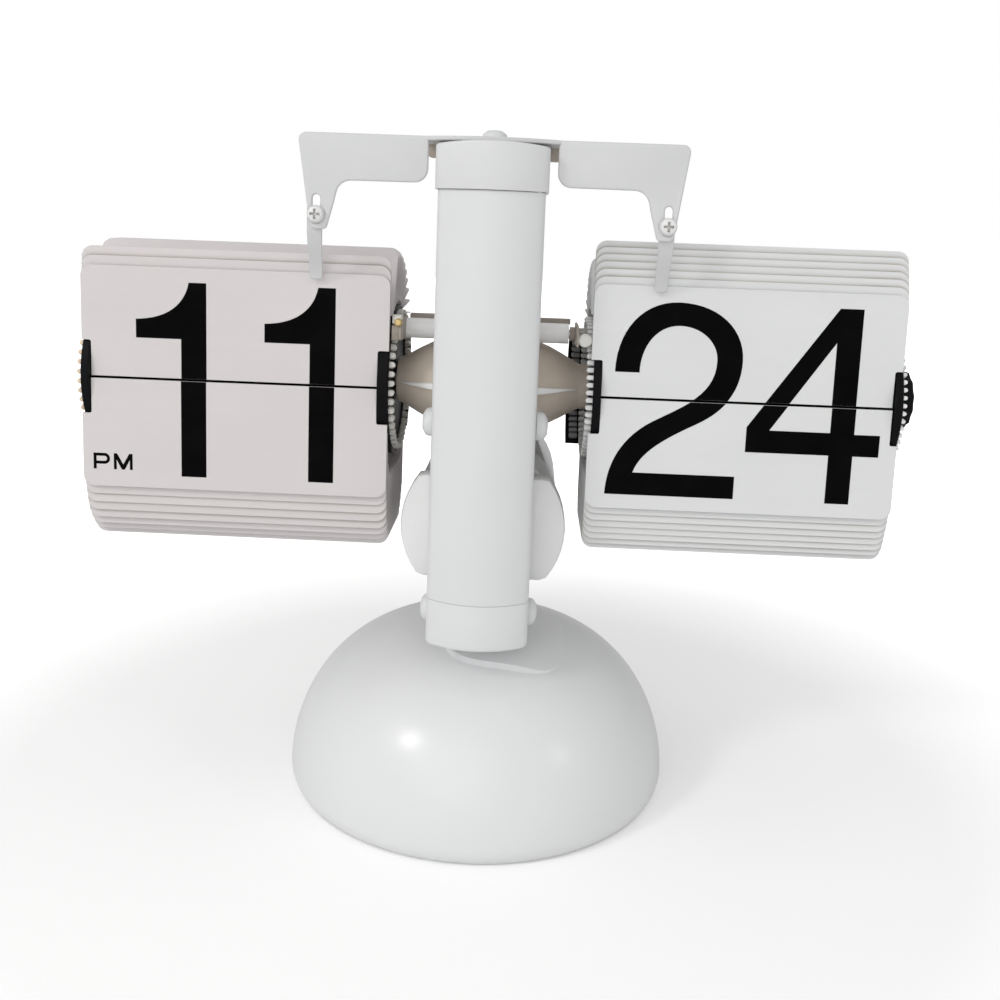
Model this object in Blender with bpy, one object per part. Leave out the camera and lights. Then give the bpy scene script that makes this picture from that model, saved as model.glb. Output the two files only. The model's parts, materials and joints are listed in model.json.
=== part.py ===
"""Flip number clock: two leaf drums on arms either side of an upright on a domed foot.

Metres, +Z up, the numbered leaves face -Y. Each sub-part is one object with its own material.
"""
import math

import bmesh
import bpy
import numpy as np
from mathutils import Vector

MM = 0.001
GAP = 0.3

# Leaf drums (all lengths in millimetres)
AXIS_Z = 104.0
PIVOT_R = 17.2
LEAF_L = 26.9
LEAF_T = 0.45
DRUM_IN = 24.1
DRUM_OUT = 98.0
FLANGE_R = 19.0
FLANGE_IN = (24.3, 27.0)
FLANGE_OUT = (95.2, 98.2)
NOTCH_W = 3.3
NOTCH_H = 9.3
CORNER_R = 2.4
HINGE_Y = -17.6
MINUTE_LEAVES = 60
HOUR_LEAVES = 48
RING_IN = 16.5
RING_OUT = 17.9
RING_X = (21.5, 23.9)

# Domed foot
DOME_R = 48.8
DOME_RIM = 47.4
DOME_WIDE_Z = 4.5
DOME_TOP = 41.5
DOME_WALL = 1.8
PAD_T = 0.9

# Upright
COL_W = 12.0
COL_REAR = -15.5
COL_SIDE = -30.4
COL_BULGE = 4.6
FOOT_Z = 44.8
FOOT_TOP = 55.8
COVER_TOP = 150.7
CAP_TOP = 161.3
WALL = 1.5

# Cross beam and stop fingers
BEAM_Z = 161.6
BEAM_T = 1.0
BEAM_Y = -27.2
BEAM_REAR = -14.2
BEAM_HALF = 44.0
WING_T = 1.0
SLOT_R = 0.95
SLOT_Z = (143.3, 147.9)
SCREW_X = 39.6
SCREW_Z = 144.5
FINGER_Y = -25.9
FINGER_T = 0.7

# Battery drum
DRUM_Z = 69.8
DRUM_FRONT = -14.2
BARREL_R = 18.8
BARREL_BACK = 48.0
LID_BACK = 50.6

# Screws through the upright (y, z)
COVER_SCREW = (-21.0, 97.0)
FOOT_SCREW = (-22.0, 50.9)
CAP_SCREW = (0.0, -23.0)
FOOT_BOLT_X = 6.0
FOOT_BOLT_Y = -8.0

# Movement (gear centres as y, z)
CASE_X = 8.6
GEAR_MODULE = 0.4
WHEEL_TEETH = 30
PINION_TEETH = 8
REDUCTION = (-7.09, 101.265)
MOTOR = (-4.61, 94.083)

# Carry shaft
CARRY_Y = -5.0
CARRY_Z = 117.7

# Axles and setting knob
AXLE_R = 1.8
AXLE_THIN_R = 0.9
HOUR_AXLE = (10.4, 100.4)
MINUTE_AXLE = (0.4, 9.4, 99.0)
KNOB_X = (99.3, 105.2)
KNOB_R = (7.1, 7.6)

WHITE = (0.80, 0.80, 0.80, 1)
BLACK = (0.012, 0.012, 0.014, 1)
STEEL = (0.55, 0.55, 0.56, 1)
BRASS = (0.72, 0.55, 0.25, 1)
CREAM = (0.80, 0.78, 0.70, 1)
RUBBER = (0.03, 0.03, 0.03, 1)
IRON = (0.09, 0.09, 0.09, 1)


def clear_scene():
    for ob in list(bpy.data.objects):
        bpy.data.objects.remove(ob, do_unlink=True)


def material(name, color, rough, metal):
    mat = bpy.data.materials.new(name)
    mat.use_nodes = True
    shader = mat.node_tree.nodes["Principled BSDF"]
    shader.inputs["Base Color"].default_value = color
    shader.inputs["Roughness"].default_value = rough
    shader.inputs["Metallic"].default_value = metal
    return mat


def make(name, verts, faces, origin=(0, 0, 0), color=WHITE, rough=0.4, metal=0.0):
    """One object from points in millimetres, its origin moved to the given point."""
    mesh = bpy.data.meshes.new(name)
    shift = Vector(origin)
    mesh.from_pydata([(Vector(v) - shift) * MM for v in verts], [], faces)
    work = bmesh.new()
    work.from_mesh(mesh)
    bmesh.ops.remove_doubles(work, verts=work.verts, dist=1e-7)
    bmesh.ops.recalc_face_normals(work, faces=work.faces)
    work.to_mesh(mesh)
    work.free()
    ob = bpy.data.objects.new(name, mesh)
    ob.location = shift * MM
    bpy.context.scene.collection.objects.link(ob)
    mesh.materials.append(material(name, color, rough, metal))
    return ob


def along(axis, u, v, w):
    """A point from two section coordinates and one coordinate along the axis."""
    if axis == "X":
        return (w, u, v)
    if axis == "Y":
        return (u, w, v)
    return (u, v, w)


def prism(name, outline, axis, lo, hi, **look):
    """An outline pushed along an axis. X takes (y, z), Y takes (x, z) and Z takes (x, y)."""
    n = len(outline)
    verts = [along(axis, u, v, lo) for u, v in outline]
    verts += [along(axis, u, v, hi) for u, v in outline]
    faces = [list(range(n)), list(range(2 * n - 1, n - 1, -1))]
    faces += [(i, i + n, (i + 1) % n + n, (i + 1) % n) for i in range(n)]
    return make(name, verts, faces, **look)


def ring_prism(name, outer, inner, axis, lo, hi, **look):
    """Two matching outlines pushed along an axis, with the inner one left open."""
    n = len(outer)
    verts = []
    for w in (lo, hi):
        verts += [along(axis, u, v, w) for u, v in outer]
        verts += [along(axis, u, v, w) for u, v in inner]
    faces = []
    for i in range(n):
        j = (i + 1) % n
        faces.append((i, j, 2 * n + j, 2 * n + i))
        faces.append((n + i, 3 * n + i, 3 * n + j, n + j))
        faces.append((i, n + i, n + j, j))
        faces.append((2 * n + i, 2 * n + j, 3 * n + j, 3 * n + i))
    return make(name, verts, faces, **look)


def lathe(name, profile, axis, centre, segs=32, **look):
    """A closed (radius, height) profile turned about an axis through the centre."""
    verts = []
    for i in range(segs):
        a = 2 * math.pi * i / segs
        for r, h in profile:
            verts.append(along(axis, centre[0] + r * math.cos(a), centre[1] + r * math.sin(a), h))
    n = len(profile)
    faces = []
    for i in range(segs):
        j = (i + 1) % segs
        for k in range(n):
            m = (k + 1) % n
            corner = [(i, k), (j, k), (j, m), (i, m)]
            if profile[k][0] == 0 and profile[m][0] == 0:
                continue
            if profile[k][0] == 0:
                corner = [(i, k), (j, m), (i, m)]
            elif profile[m][0] == 0:
                corner = [(i, k), (j, k), (i, m)]
            faces.append([a * n + b for a, b in corner])
    return make(name, verts, faces, **look)


def rod(name, r, axis, centre, lo, hi, segs=24, **look):
    return lathe(name, [(0, lo), (r, lo), (r, hi), (0, hi)], axis, centre, segs, **look)


def tube(name, r_out, r_in, axis, centre, lo, hi, segs=32, **look):
    return lathe(name, [(r_in, lo), (r_out, lo), (r_out, hi), (r_in, hi)], axis, centre, segs, **look)


def box(name, x, y, z, **look):
    corners = [(x[0], y[0]), (x[1], y[0]), (x[1], y[1]), (x[0], y[1])]
    return prism(name, corners, "Z", z[0], z[1], **look)


def hide(tool):
    tool.hide_render = True
    tool.display_type = "WIRE"


def boolean(ob, tools, operation):
    for tool in tools:
        hide(tool)
        step = ob.modifiers.new("cut_" + tool.name, "BOOLEAN")
        step.operation = operation
        step.solver = "EXACT"
        step.object = tool


def cut(ob, *tools):
    boolean(ob, tools, "DIFFERENCE")


def fuse(ob, *tools):
    boolean(ob, tools, "UNION")


def smooth(ob, degrees=35):
    ob.data.shade_smooth()
    ob.data.set_sharp_from_angle(angle=math.radians(degrees))


def arc(cx, cy, r, a0, a1, n):
    """Points of a circle from one angle in degrees to another."""
    turns = [math.radians(a0 + (a1 - a0) * i / n) for i in range(n + 1)]
    return [(cx + r * math.cos(t), cy + r * math.sin(t)) for t in turns]


def rounded(points, radii, n=4):
    """An outline with each corner rounded by its own radius."""
    out = []
    count = len(points)
    for i in range(count):
        p = np.array(points[i], float)
        if radii[i] <= 0:
            out.append(tuple(p))
            continue
        a = np.array(points[i - 1], float) - p
        b = np.array(points[(i + 1) % count], float) - p
        a /= np.linalg.norm(a)
        b /= np.linalg.norm(b)
        half = math.acos(max(-1.0, min(1.0, float(a @ b)))) / 2
        start = p + a * radii[i] / math.tan(half)
        end = p + b * radii[i] / math.tan(half)
        centre = p + (a + b) / np.linalg.norm(a + b) * radii[i] / math.sin(half)
        for k in range(n + 1):
            q = start + (end - start) * k / n - centre
            q = centre + q / np.linalg.norm(q) * radii[i]
            out.append(tuple(q))
    return out


def mirrored(outline, side):
    """The outline itself for +1, its mirror image in the first coordinate for -1."""
    if side > 0:
        return outline
    return [(-u, v) for u, v in reversed(outline)]


def span(side, lo, hi):
    """A range along X on one side of the clock."""
    return (lo, hi) if side > 0 else (-hi, -lo)


# ---------------------------------------------------------------- domed foot

def dome_z(r):
    """Height of the dome's outside at a radius."""
    t = math.asin((r / DOME_R) ** (2.88 / 2))
    return DOME_WIDE_Z + (DOME_TOP - DOME_WIDE_Z) * math.cos(t) ** (2 / 1.85)


def dome_outline(inset, foot_z, n=12):
    """Half profile of the dome from the crown to the rim, moved inward by the inset."""
    out = []
    for i in range(n + 1):
        t = math.pi / 2 * i / n
        r = (DOME_R - inset) * math.sin(t) ** (2 / 2.88)
        z = DOME_WIDE_Z + (DOME_TOP - inset - DOME_WIDE_Z) * max(0.0, math.cos(t)) ** (2 / 1.85)
        out.append((r if i else 0, z))
    for f in (0.5, 1.0):
        r = DOME_R - inset - (DOME_R - DOME_RIM) * f * f
        out.append((r, DOME_WIDE_Z + (foot_z - DOME_WIDE_Z) * f))
    return out


def build_foot():
    outer = dome_outline(0, 0.4)
    inner = dome_outline(DOME_WALL, 0.4, 7)
    dome = lathe("base_dome", outer + inner[::-1], "Z", (0, 0), 44, rough=0.32)
    smooth(dome)
    cut(dome, *bolt_holes("dome", 1.9, 30, 50))

    under = [(r, dome_z(r) + GAP) for r in (0, 7.0, 12.0, 16.0, 19.5, 22.5, 25.4)]
    rim = dome_z(25.4) + 1.0
    top = [(25.4, rim), (24.4, rim + 0.7), (20.0, 41.9), (16.5, 43.7), (15.4, 44.4), (0, 44.4)]
    collar = lathe("base_collar", under + top, "Z", (0, 0), 32, rough=0.35)
    smooth(collar, 40)
    cut(collar, *bolt_holes("collar", 1.9, 30, 50))
    build_foot_inside()


def bolt_holes(name, r, lo, hi):
    """The two bores for the bolts that hold the upright on the dome."""
    centres = ((-FOOT_BOLT_X, FOOT_BOLT_Y), (FOOT_BOLT_X, FOOT_BOLT_Y))
    return [rod("tool_%s_bolt_%d" % (name, i), r, "Z", c, lo, hi, 16) for i, c in enumerate(centres)]


def build_foot_inside():
    """Rubber pad, closing plate, ballast ring and the two bolts."""
    profile = [(6, 1.2), (44.6, 1.2), (44.6, 2.8), (43.4, 3.4), (6, 3.4)]
    plate = lathe("base_plate", profile, "Z", (0, 0), 36, color=STEEL, rough=0.4, metal=1.0)
    smooth(plate)
    profile = [(0, 0), (44.0, 0), (44.6, 0.4), (44.6, PAD_T), (0, PAD_T)]
    pad = lathe("base_pad", profile, "Z", (0, 0), 36, color=RUBBER, rough=0.85)
    smooth(pad)
    profile = [(8, 3.7), (38, 3.7), (39, 4.7), (39, 8.5), (38, 9.5), (8, 9.5)]
    weight = lathe("base_weight", profile, "Z", (0, 0), 28, color=IRON, rough=0.7, metal=0.8)
    smooth(weight)
    for side, word in ((-1, "left"), (1, "right")):
        head = [(0, 34.2), (2.6, 34.4), (3.4, 35.4), (3.4, 36.6), (1.5, 36.6), (1.5, 47.4), (0, 47.4)]
        centre = (FOOT_BOLT_X * side, FOOT_BOLT_Y)
        bolt = lathe("foot_bolt_" + word, head, "Z", centre, 20, color=STEEL, rough=0.35, metal=1.0)
        smooth(bolt)


# ------------------------------------------------------------------- upright

def column_outline(w, inset, rear, n=12):
    """Section of the upright: flat sides and a bulged front, moved inward by the inset."""
    side = w - inset
    depth = COL_BULGE + (w - COL_W) - inset
    out = [(side, rear), (side, COL_SIDE)]
    for i in range(1, n):
        t = math.pi * i / n
        c = math.cos(t)
        x = side * math.copysign(abs(c) ** (2 / 2.9), c)
        out.append((x, COL_SIDE - depth * math.sin(t) ** (2 / 2.9)))
    out += [(-side, COL_SIDE), (-side, rear)]
    return out


def column_shell(name, w, rear, lo, hi):
    outer = column_outline(w, 0, rear)
    inner = column_outline(w, WALL, rear)
    return prism(name, outer + inner[::-1], "Z", lo, hi, rough=0.35)


def closed_shell(name, w, lo, hi, floor_at_bottom):
    """A short column-shaped cup, open at the back, with one end closed."""
    cup = prism(name, column_outline(w, 0, COL_REAR), "Z", lo, hi, rough=0.35)
    bevel = cup.modifiers.new("edge", "BEVEL")
    bevel.width = 0.9 * MM
    bevel.segments = 2
    bevel.limit_method = "ANGLE"
    bevel.angle_limit = math.radians(60)
    inside = (lo + WALL, hi + 1) if floor_at_bottom else (lo - 1, hi - WALL)
    tool = prism("tool_" + name, column_outline(w, WALL, COL_REAR + 5), "Z", inside[0], inside[1])
    cut(cup, tool)
    return cup


def cross_hole(name, r, centre, half=17):
    return rod(name, r, "X", centre, -half, half, 16)


def build_column():
    cover = column_shell("column_cover", COL_W, COL_REAR, FOOT_TOP + GAP, COVER_TOP)
    smooth(cover, 30)
    cut(cover, cross_hole("tool_cover_screw", 1.8, COVER_SCREW))

    foot = closed_shell("column_foot_cap", COL_W + 0.5, FOOT_Z, FOOT_TOP, True)
    smooth(foot, 30)
    cut(foot, cross_hole("tool_foot_screw", 1.8, FOOT_SCREW))

    cap = closed_shell("column_top_cap", COL_W + 0.65, COVER_TOP + GAP, CAP_TOP, False)
    smooth(cap, 30)
    cut(cap, rod("tool_cap_screw", 1.6, "Z", CAP_SCREW, 155, 165, 16))
    build_chassis()

    top = BEAM_Z + BEAM_T
    head = [(0, top + 2.1), (1.6, top + 1.9), (2.6, top + 1.2), (3.0, top + 0.2)]
    shank = [(1.3, top + 0.2), (1.3, 154.0), (0, 154.0)]
    screw = lathe("cap_screw", head + shank, "Z", CAP_SCREW, 24, rough=0.35)
    smooth(screw)


def build_chassis():
    """Channel inside the upright that the cover, the caps and the movement are screwed to."""
    w = COL_W - WALL - GAP
    rear = COL_REAR - GAP
    web = COL_REAR - GAP - 1.4
    lip = -29.0
    right = [(w, rear), (w, lip), (w - 1.3, lip), (w - 1.3, web)]
    outer = right + [(-x, y) for x, y in reversed(right)]
    floor = FOOT_Z + WALL + GAP
    chassis = prism("column_chassis", outer, "Z", floor, CAP_TOP - WALL - GAP, rough=0.5)
    tab = box("tool_chassis_top", (-5, 5), (-27.5, -16.5), (155.4, 157.4))
    shelf = box("tool_chassis_foot", (-9.2, 9.2), (-17.2, -2.5), (floor, floor + 2.4))
    fuse(chassis, tab, shelf)
    thread = rod("tool_chassis_cap", 1.5, "Z", CAP_SCREW, 153, 160, 16)
    upper = cross_hole("tool_chassis_screw", 1.2, COVER_SCREW)
    lower = cross_hole("tool_chassis_foot_screw", 1.2, FOOT_SCREW)
    cut(chassis, upper, lower, thread, *bolt_holes("shelf", 1.8, 44, 52))


def side_screw(name, side, centre, r, face, out_x, stop=8.0):
    """A domed screw through the side wall, its head outside at the given face."""
    head = [(0, out_x), (r * 0.55, out_x - 0.15), (r * 0.88, out_x - 0.8), (r, out_x - 1.5), (r, face)]
    shank = [(1.0, face), (1.0, stop), (0, stop)]
    profile = [(a, side * b) for a, b in head + shank]
    smooth(lathe(name, profile, "X", centre, 24, rough=0.35))


def build_side_screws():
    for side, word in ((-1, "left"), (1, "right")):
        side_screw("cover_screw_" + word, side, COVER_SCREW, 3.4, COL_W + 0.15, 14.9)
        side_screw("foot_screw_" + word, side, FOOT_SCREW, 3.7, COL_W + 0.65, 15.5)


# ------------------------------------------------- cross beam and stop fingers

def wing_outline():
    """Front face of the right wing: a horizontal arm that turns down into a tapering leg."""
    top = BEAM_Z + 0.5
    leg_in = SCREW_X - 2.5
    leg_out = SCREW_X + 2.7
    points = [(14.7, top), (14.7, 152.1), (leg_in - 1.3, 152.1), (leg_in, 142.9), (leg_in + 1.2, 141.7),
              (leg_out - 1.2, 141.7), (leg_out, 143.3), (BEAM_HALF, 156.0), (BEAM_HALF, top)]
    return rounded(points, [0, 2.2, 3.6, 0.8, 0.3, 0.3, 0.8, 3.0, 0])


def build_beam():
    nose = [p for p in column_outline(COL_W + 0.4, 0, BEAM_REAR) if p[1] < BEAM_Y]
    right = [(BEAM_HALF, BEAM_REAR), (BEAM_HALF, BEAM_Y), (COL_W + 1.4, BEAM_Y)]
    left = [(-x, y) for x, y in reversed(right)]
    beam = prism("crossbeam", right + nose + left, "Z", BEAM_Z, BEAM_Z + BEAM_T, rough=0.35)
    wings = []
    for side, word in ((-1, "left"), (1, "right")):
        outline = mirrored(wing_outline(), side)
        wings.append(prism("tool_wing_" + word, outline, "Y", BEAM_Y, BEAM_Y + WING_T))
    lip = box("tool_beam_lip", (-16.2, 16.2), (BEAM_REAR - 1.0, BEAM_REAR), (152.4, BEAM_Z + 0.5))
    fuse(beam, lip, *wings)
    tools = [rod("tool_beam_screw", 1.6, "Z", CAP_SCREW, 159, 165, 16)]
    for side, word in ((-1, "left"), (1, "right")):
        slot = arc(SCREW_X, SLOT_Z[1], SLOT_R, 0, 180, 6) + arc(SCREW_X, SLOT_Z[0], SLOT_R, 180, 360, 6)
        tools.append(prism("tool_slot_" + word, mirrored(slot, side), "Y", BEAM_Y - 1, BEAM_Y + 2))
    cut(beam, *tools)
    smooth(beam, 30)


def finger_rows():
    """Height, inner x, outer x and front y of the stop finger, top to tip."""
    x = SCREW_X
    flat = [(150.7, x - 1.8, x + 1.8, FINGER_Y), (140.4, x - 1.8, x + 1.8, FINGER_Y)]
    bent = [(136.0, x - 1.1, x + 2.0, -22.7), (132.0, x - 0.3, x + 2.0, -19.9)]
    tip = [(130.3, x - 0.1, x + 1.7, -19.0), (129.4, x + 0.5, x + 1.2, -18.8)]
    return flat + bent + tip


def build_fingers():
    for side, word in ((-1, "left"), (1, "right")):
        origin = (side * SCREW_X, FINGER_Y, SCREW_Z)
        centre = (side * SCREW_X, SCREW_Z)
        build_finger(word, side, origin, centre)
        build_finger_screw(word, side, origin, centre)


def build_finger(word, side, origin, centre):
    verts = []
    for z, x0, x1, y in finger_rows():
        for x, back in ((x0, 0), (x1, 0), (x1, FINGER_T), (x0, FINGER_T)):
            verts.append((side * x, y + back, z))
    n = len(finger_rows())
    faces = [(0, 1, 2, 3), (4 * n - 4, 4 * n - 1, 4 * n - 2, 4 * n - 3)]
    for r in range(n - 1):
        for k in range(4):
            faces.append((4 * r + k, 4 * r + (k + 1) % 4, 4 * r + 4 + (k + 1) % 4, 4 * r + 4 + k))
    finger = make("stop_finger_" + word, verts, faces, origin=origin, rough=0.35)
    cut(finger, rod("tool_finger_hole_" + word, 0.9, "Y", centre, -28, -24, 16))


def build_finger_screw(word, side, origin, centre):
    head = [(0, -29.0), (0.9, -28.95), (1.7, -28.5), (2.05, -27.5), (0.7, -27.5), (0.7, -24.3), (0, -24.3)]
    screw = lathe("finger_screw_" + word, head, "Y", centre, 24, origin=origin, rough=0.35)
    slots = []
    for i, (a, b) in enumerate(((1.1, 0.25), (0.25, 1.1))):
        x = (centre[0] - a, centre[0] + a)
        z = (SCREW_Z - b, SCREW_Z + b)
        slots.append(box("tool_cross_%s_%d" % (word, i), x, (-30, -28.35), z))
    cut(screw, *slots)
    smooth(screw)


# -------------------------------------------------------------- battery drum

def teardrop(r_low, z_low, r_high, z_high, n=14):
    """Outline (x, z) of two circles joined by their outer tangents."""
    lean = math.degrees(math.asin((r_low - r_high) / (z_high - z_low)))
    low = arc(0, z_low, r_low, 180 - lean, 360 + lean, n)
    high = arc(0, z_high, r_high, lean, 180 - lean, n // 2)
    return low + high


def build_drum():
    face = [p for p in arc(0, DRUM_Z, 20.4, 0, 360, 48)[:-1]]
    face = [(x, min(max(z, 56.7), 82.6)) for x, z in face]
    front = prism("drum_front", face, "Y", DRUM_FRONT, -8.4, rough=0.35)
    bevel = front.modifiers.new("edge", "BEVEL")
    bevel.width = 0.8 * MM
    bevel.segments = 2
    bevel.limit_method = "ANGLE"
    bevel.angle_limit = math.radians(60)
    smooth(front)

    wall = BARREL_R - 1.3
    cup = [(0, -8.1), (BARREL_R, -8.1), (BARREL_R, BARREL_BACK), (wall, BARREL_BACK), (wall, -6.6),
           (0, -6.6)]
    barrel = lathe("battery_barrel", cup, "Y", (0, DRUM_Z), 36, rough=0.4)
    web = prism("tool_teardrop", teardrop(BARREL_R - 0.5, DRUM_Z, 7.2, 100.0), "Y", 14.6, 18.0)
    fuse(barrel, web)
    cut(barrel, rod("tool_barrel_bore", wall - 0.25, "Y", (0, DRUM_Z), 12.0, 21.0, 36))
    smooth(barrel)

    lid_front = BARREL_BACK + GAP
    ring_in = BARREL_R - 3.0
    ring_out = BARREL_R - 1.6
    plug = [(0, lid_front), (ring_in, lid_front), (ring_in, 45.0), (ring_out, 45.0), (ring_out, lid_front)]
    cap = [(BARREL_R, lid_front), (BARREL_R, LID_BACK - 1.2), (BARREL_R - 1.2, LID_BACK), (0, LID_BACK)]
    origin = (0, BARREL_BACK, DRUM_Z)
    lid = lathe("battery_lid", plug + cap, "Y", (0, DRUM_Z), 36, origin=origin, rough=0.4)
    slot_z = (DRUM_Z - 1.1, DRUM_Z + 1.1)
    cut(lid, box("tool_lid_slot", (-7.5, 7.5), (LID_BACK - 0.9, LID_BACK + 1), slot_z))
    smooth(lid)

    profile = [(0, -6.2), (5.5, -6.2), (5.5, -5.6), (2.4, -5.6), (1.6, -4.9), (0, -4.9)]
    plate = lathe("battery_contact", profile, "Y", (0, DRUM_Z), 24, color=BRASS, rough=0.3, metal=1.0)
    smooth(plate)
    build_spring()


def build_spring(turns=3.0, wire=0.45, steps=42, ring=6):
    """Conical battery spring standing on the inside of the lid."""
    verts = []
    for i in range(steps + 1):
        f = i / steps
        a = 2 * math.pi * turns * f
        r = 7.5 - 4.2 * f
        centre = Vector((r * math.cos(a), 46.8 - 7.0 * f, DRUM_Z + r * math.sin(a)))
        out = Vector((math.cos(a), 0, math.sin(a)))
        for k in range(ring):
            b = 2 * math.pi * k / ring
            verts.append(centre + out * wire * math.cos(b) + Vector((0, wire * math.sin(b), 0)))
    faces = [tuple(range(ring)), tuple(range((steps + 1) * ring - 1, steps * ring - 1, -1))]
    for i in range(steps):
        for k in range(ring):
            m = (k + 1) % ring
            faces.append((i * ring + k, i * ring + m, (i + 1) * ring + m, (i + 1) * ring + k))
    origin = (0, BARREL_BACK, DRUM_Z)
    spring = make("battery_spring", verts, faces, origin=origin, color=STEEL, rough=0.25, metal=1.0)
    smooth(spring, 60)


# ------------------------------------------------------------------ movement

def gear_outline(cy, cz, teeth, module, phase):
    """Straight-sided gear outline; phase in degrees places the middle of one tooth."""
    pitch = teeth * module / 2
    root = pitch - module * 1.15
    tip = pitch + module * 0.8
    out = []
    for i in range(teeth):
        mid = math.radians(phase + 360.0 * i / teeth)
        whole = 2 * math.pi / teeth
        for r, share in ((root, -0.27), (tip, -0.10), (tip, 0.10), (root, 0.27)):
            t = mid + whole * share
            out.append((cy + r * math.cos(t), cz + r * math.sin(t)))
    return out


def towards(a, b):
    """Direction in degrees from one gear centre to another."""
    return math.degrees(math.atan2(b[1] - a[1], b[0] - a[0]))


def gear(name, centre, teeth, phase, lo, hi, **look):
    outline = gear_outline(centre[0], centre[1], teeth, GEAR_MODULE, phase)
    return prism(name, outline, "X", lo, hi, **look)


def build_movement():
    case = box("movement_case", (-CASE_X, CASE_X), (-15.0, 12.2), (89.0, 114.2), rough=0.5)
    inside = box("tool_case_inside", (1.4 - CASE_X, CASE_X - 1.4), (-13.7, 20), (90.4, 112.8))
    bores = []
    for i, x in enumerate((-12, 6)):
        bores.append(rod("tool_case_axle_%d" % i, 2.3, "X", (0, AXIS_Z), x, x + 6, 20))
    cut(case, inside, *bores)
    back = box("movement_cover", (-CASE_X, CASE_X), (12.5, 14.2), (89.0, 114.2), rough=0.5)
    smooth(back)
    motor = rod("motor", 3.5, "X", MOTOR, -6.9, -0.8, 28, color=STEEL, rough=0.3, metal=1.0)
    smooth(motor)
    build_train()


def build_train():
    """Motor pinion, reduction wheel with its own pinion, and the wheel on the minute axle."""
    meet = towards(MOTOR, REDUCTION)
    origin = (0, MOTOR[0], MOTOR[1])
    brass = {"color": BRASS, "rough": 0.3, "metal": 1.0}
    pinion = gear("motor_pinion", MOTOR, PINION_TEETH, meet, 3.2, 4.4, origin=origin, **brass)
    fuse(pinion, rod("tool_motor_shaft", 0.5, "X", MOTOR, -0.4, 5.2, 12))

    half_tooth = 180.0 / WHEEL_TEETH
    axis = (0.0, AXIS_Z)
    nylon = {"color": CREAM, "rough": 0.5}
    origin = (0, REDUCTION[0], REDUCTION[1])
    phase = meet + 180 + half_tooth
    wheel = gear("reduction_gear", REDUCTION, WHEEL_TEETH, phase, 3.2, 4.4, origin=origin, **nylon)
    down = towards(REDUCTION, axis)
    small = gear("tool_reduction_pinion", REDUCTION, PINION_TEETH, down, 1.2, 3.5)
    fuse(wheel, small, rod("tool_reduction_stub", 0.7, "X", REDUCTION, 0.2, 6.8, 14))

    phase = down + 180 + half_tooth
    drive = gear("drive_gear", axis, WHEEL_TEETH, phase, 1.2, 2.4, origin=(0, 0, AXIS_Z), **nylon)
    cut(drive, rod("tool_drive_bore", 1.2, "X", axis, 0, 4, 20))


def build_arms():
    for side, word in ((-1, "left"), (1, "right")):
        outside = [(9.2, 8.9), (11.2, 8.9), (11.8, 11.8), (9.6, 15.6), (7.4, 19.6), (6.3, 22.0), (5.9, 22.4)]
        inside = [(2.3, 22.4), (2.3, 19.5), (6.0, 17.0), (9.2, 11.4)]
        profile = [(r, side * x) for r, x in outside + inside]
        arm = lathe("arm_cone_" + word, profile, "X", (0, AXIS_Z), 32, rough=0.5)
        fin = [(12.0, 12.9), (9.5, 13.2), (9.5, 9.8), (12.0, 10.2), (16.0, 7.9), (20.4, 5.0), (20.6, 6.9)]
        ribs = []
        for k, flip in enumerate((-1, 1)):
            outline = mirrored([(x, flip * y) for x, y in fin], side)
            ribs.append(prism("tool_rib_%s_%d" % (word, k), outline, "Z", AXIS_Z - 0.6, AXIS_Z + 0.6))
        fuse(arm, *ribs)
        smooth(arm, 30)


# --------------------------------------------------------------- carry train

def build_carry():
    sleeve = tube("carry_sleeve", 2.5, 1.45, "X", (CARRY_Y, CARRY_Z), -21.2, 19.3, 28, rough=0.35)
    smooth(sleeve)
    origin = (0, CARRY_Y, CARRY_Z)
    steel = {"color": STEEL, "rough": 0.25, "metal": 1.0}
    shaft = rod("carry_shaft", 1.1, "X", (CARRY_Y, CARRY_Z), -22.9, 21.3, 20, origin=origin, **steel)
    smooth(shaft)
    for side, word, lo, hi in ((-1, "left", 23.1, 23.9), (1, "right", 21.5, 23.8)):
        a, b = span(side, lo, hi)
        outline = gear_outline(CARRY_Y, CARRY_Z, 8, 0.33, 20)
        pin = prism("carry_pinion_" + word, outline, "X", a, b, origin=origin, color=CREAM, rough=0.45)
        smooth(pin)
    brown = (0.45, 0.40, 0.36, 1)
    bar = box("stay_bar", (-20.6, 19.8), (-1.4, 1.6), (119.7, 121.0), color=brown, rough=0.4)
    smooth(bar)


# --------------------------------------------------------------- leaf drums

def pivot(phi):
    a = math.radians(phi)
    return np.array([-PIVOT_R * math.cos(a), AXIS_Z + PIVOT_R * math.sin(a)])


def crossing(p, d, q, e):
    """Distance along the line p + s d at which it meets the line q + u e."""
    return float(np.linalg.solve(np.array([[d[0], -e[0]], [d[1], -e[1]]]), q - p)[0])


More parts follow.
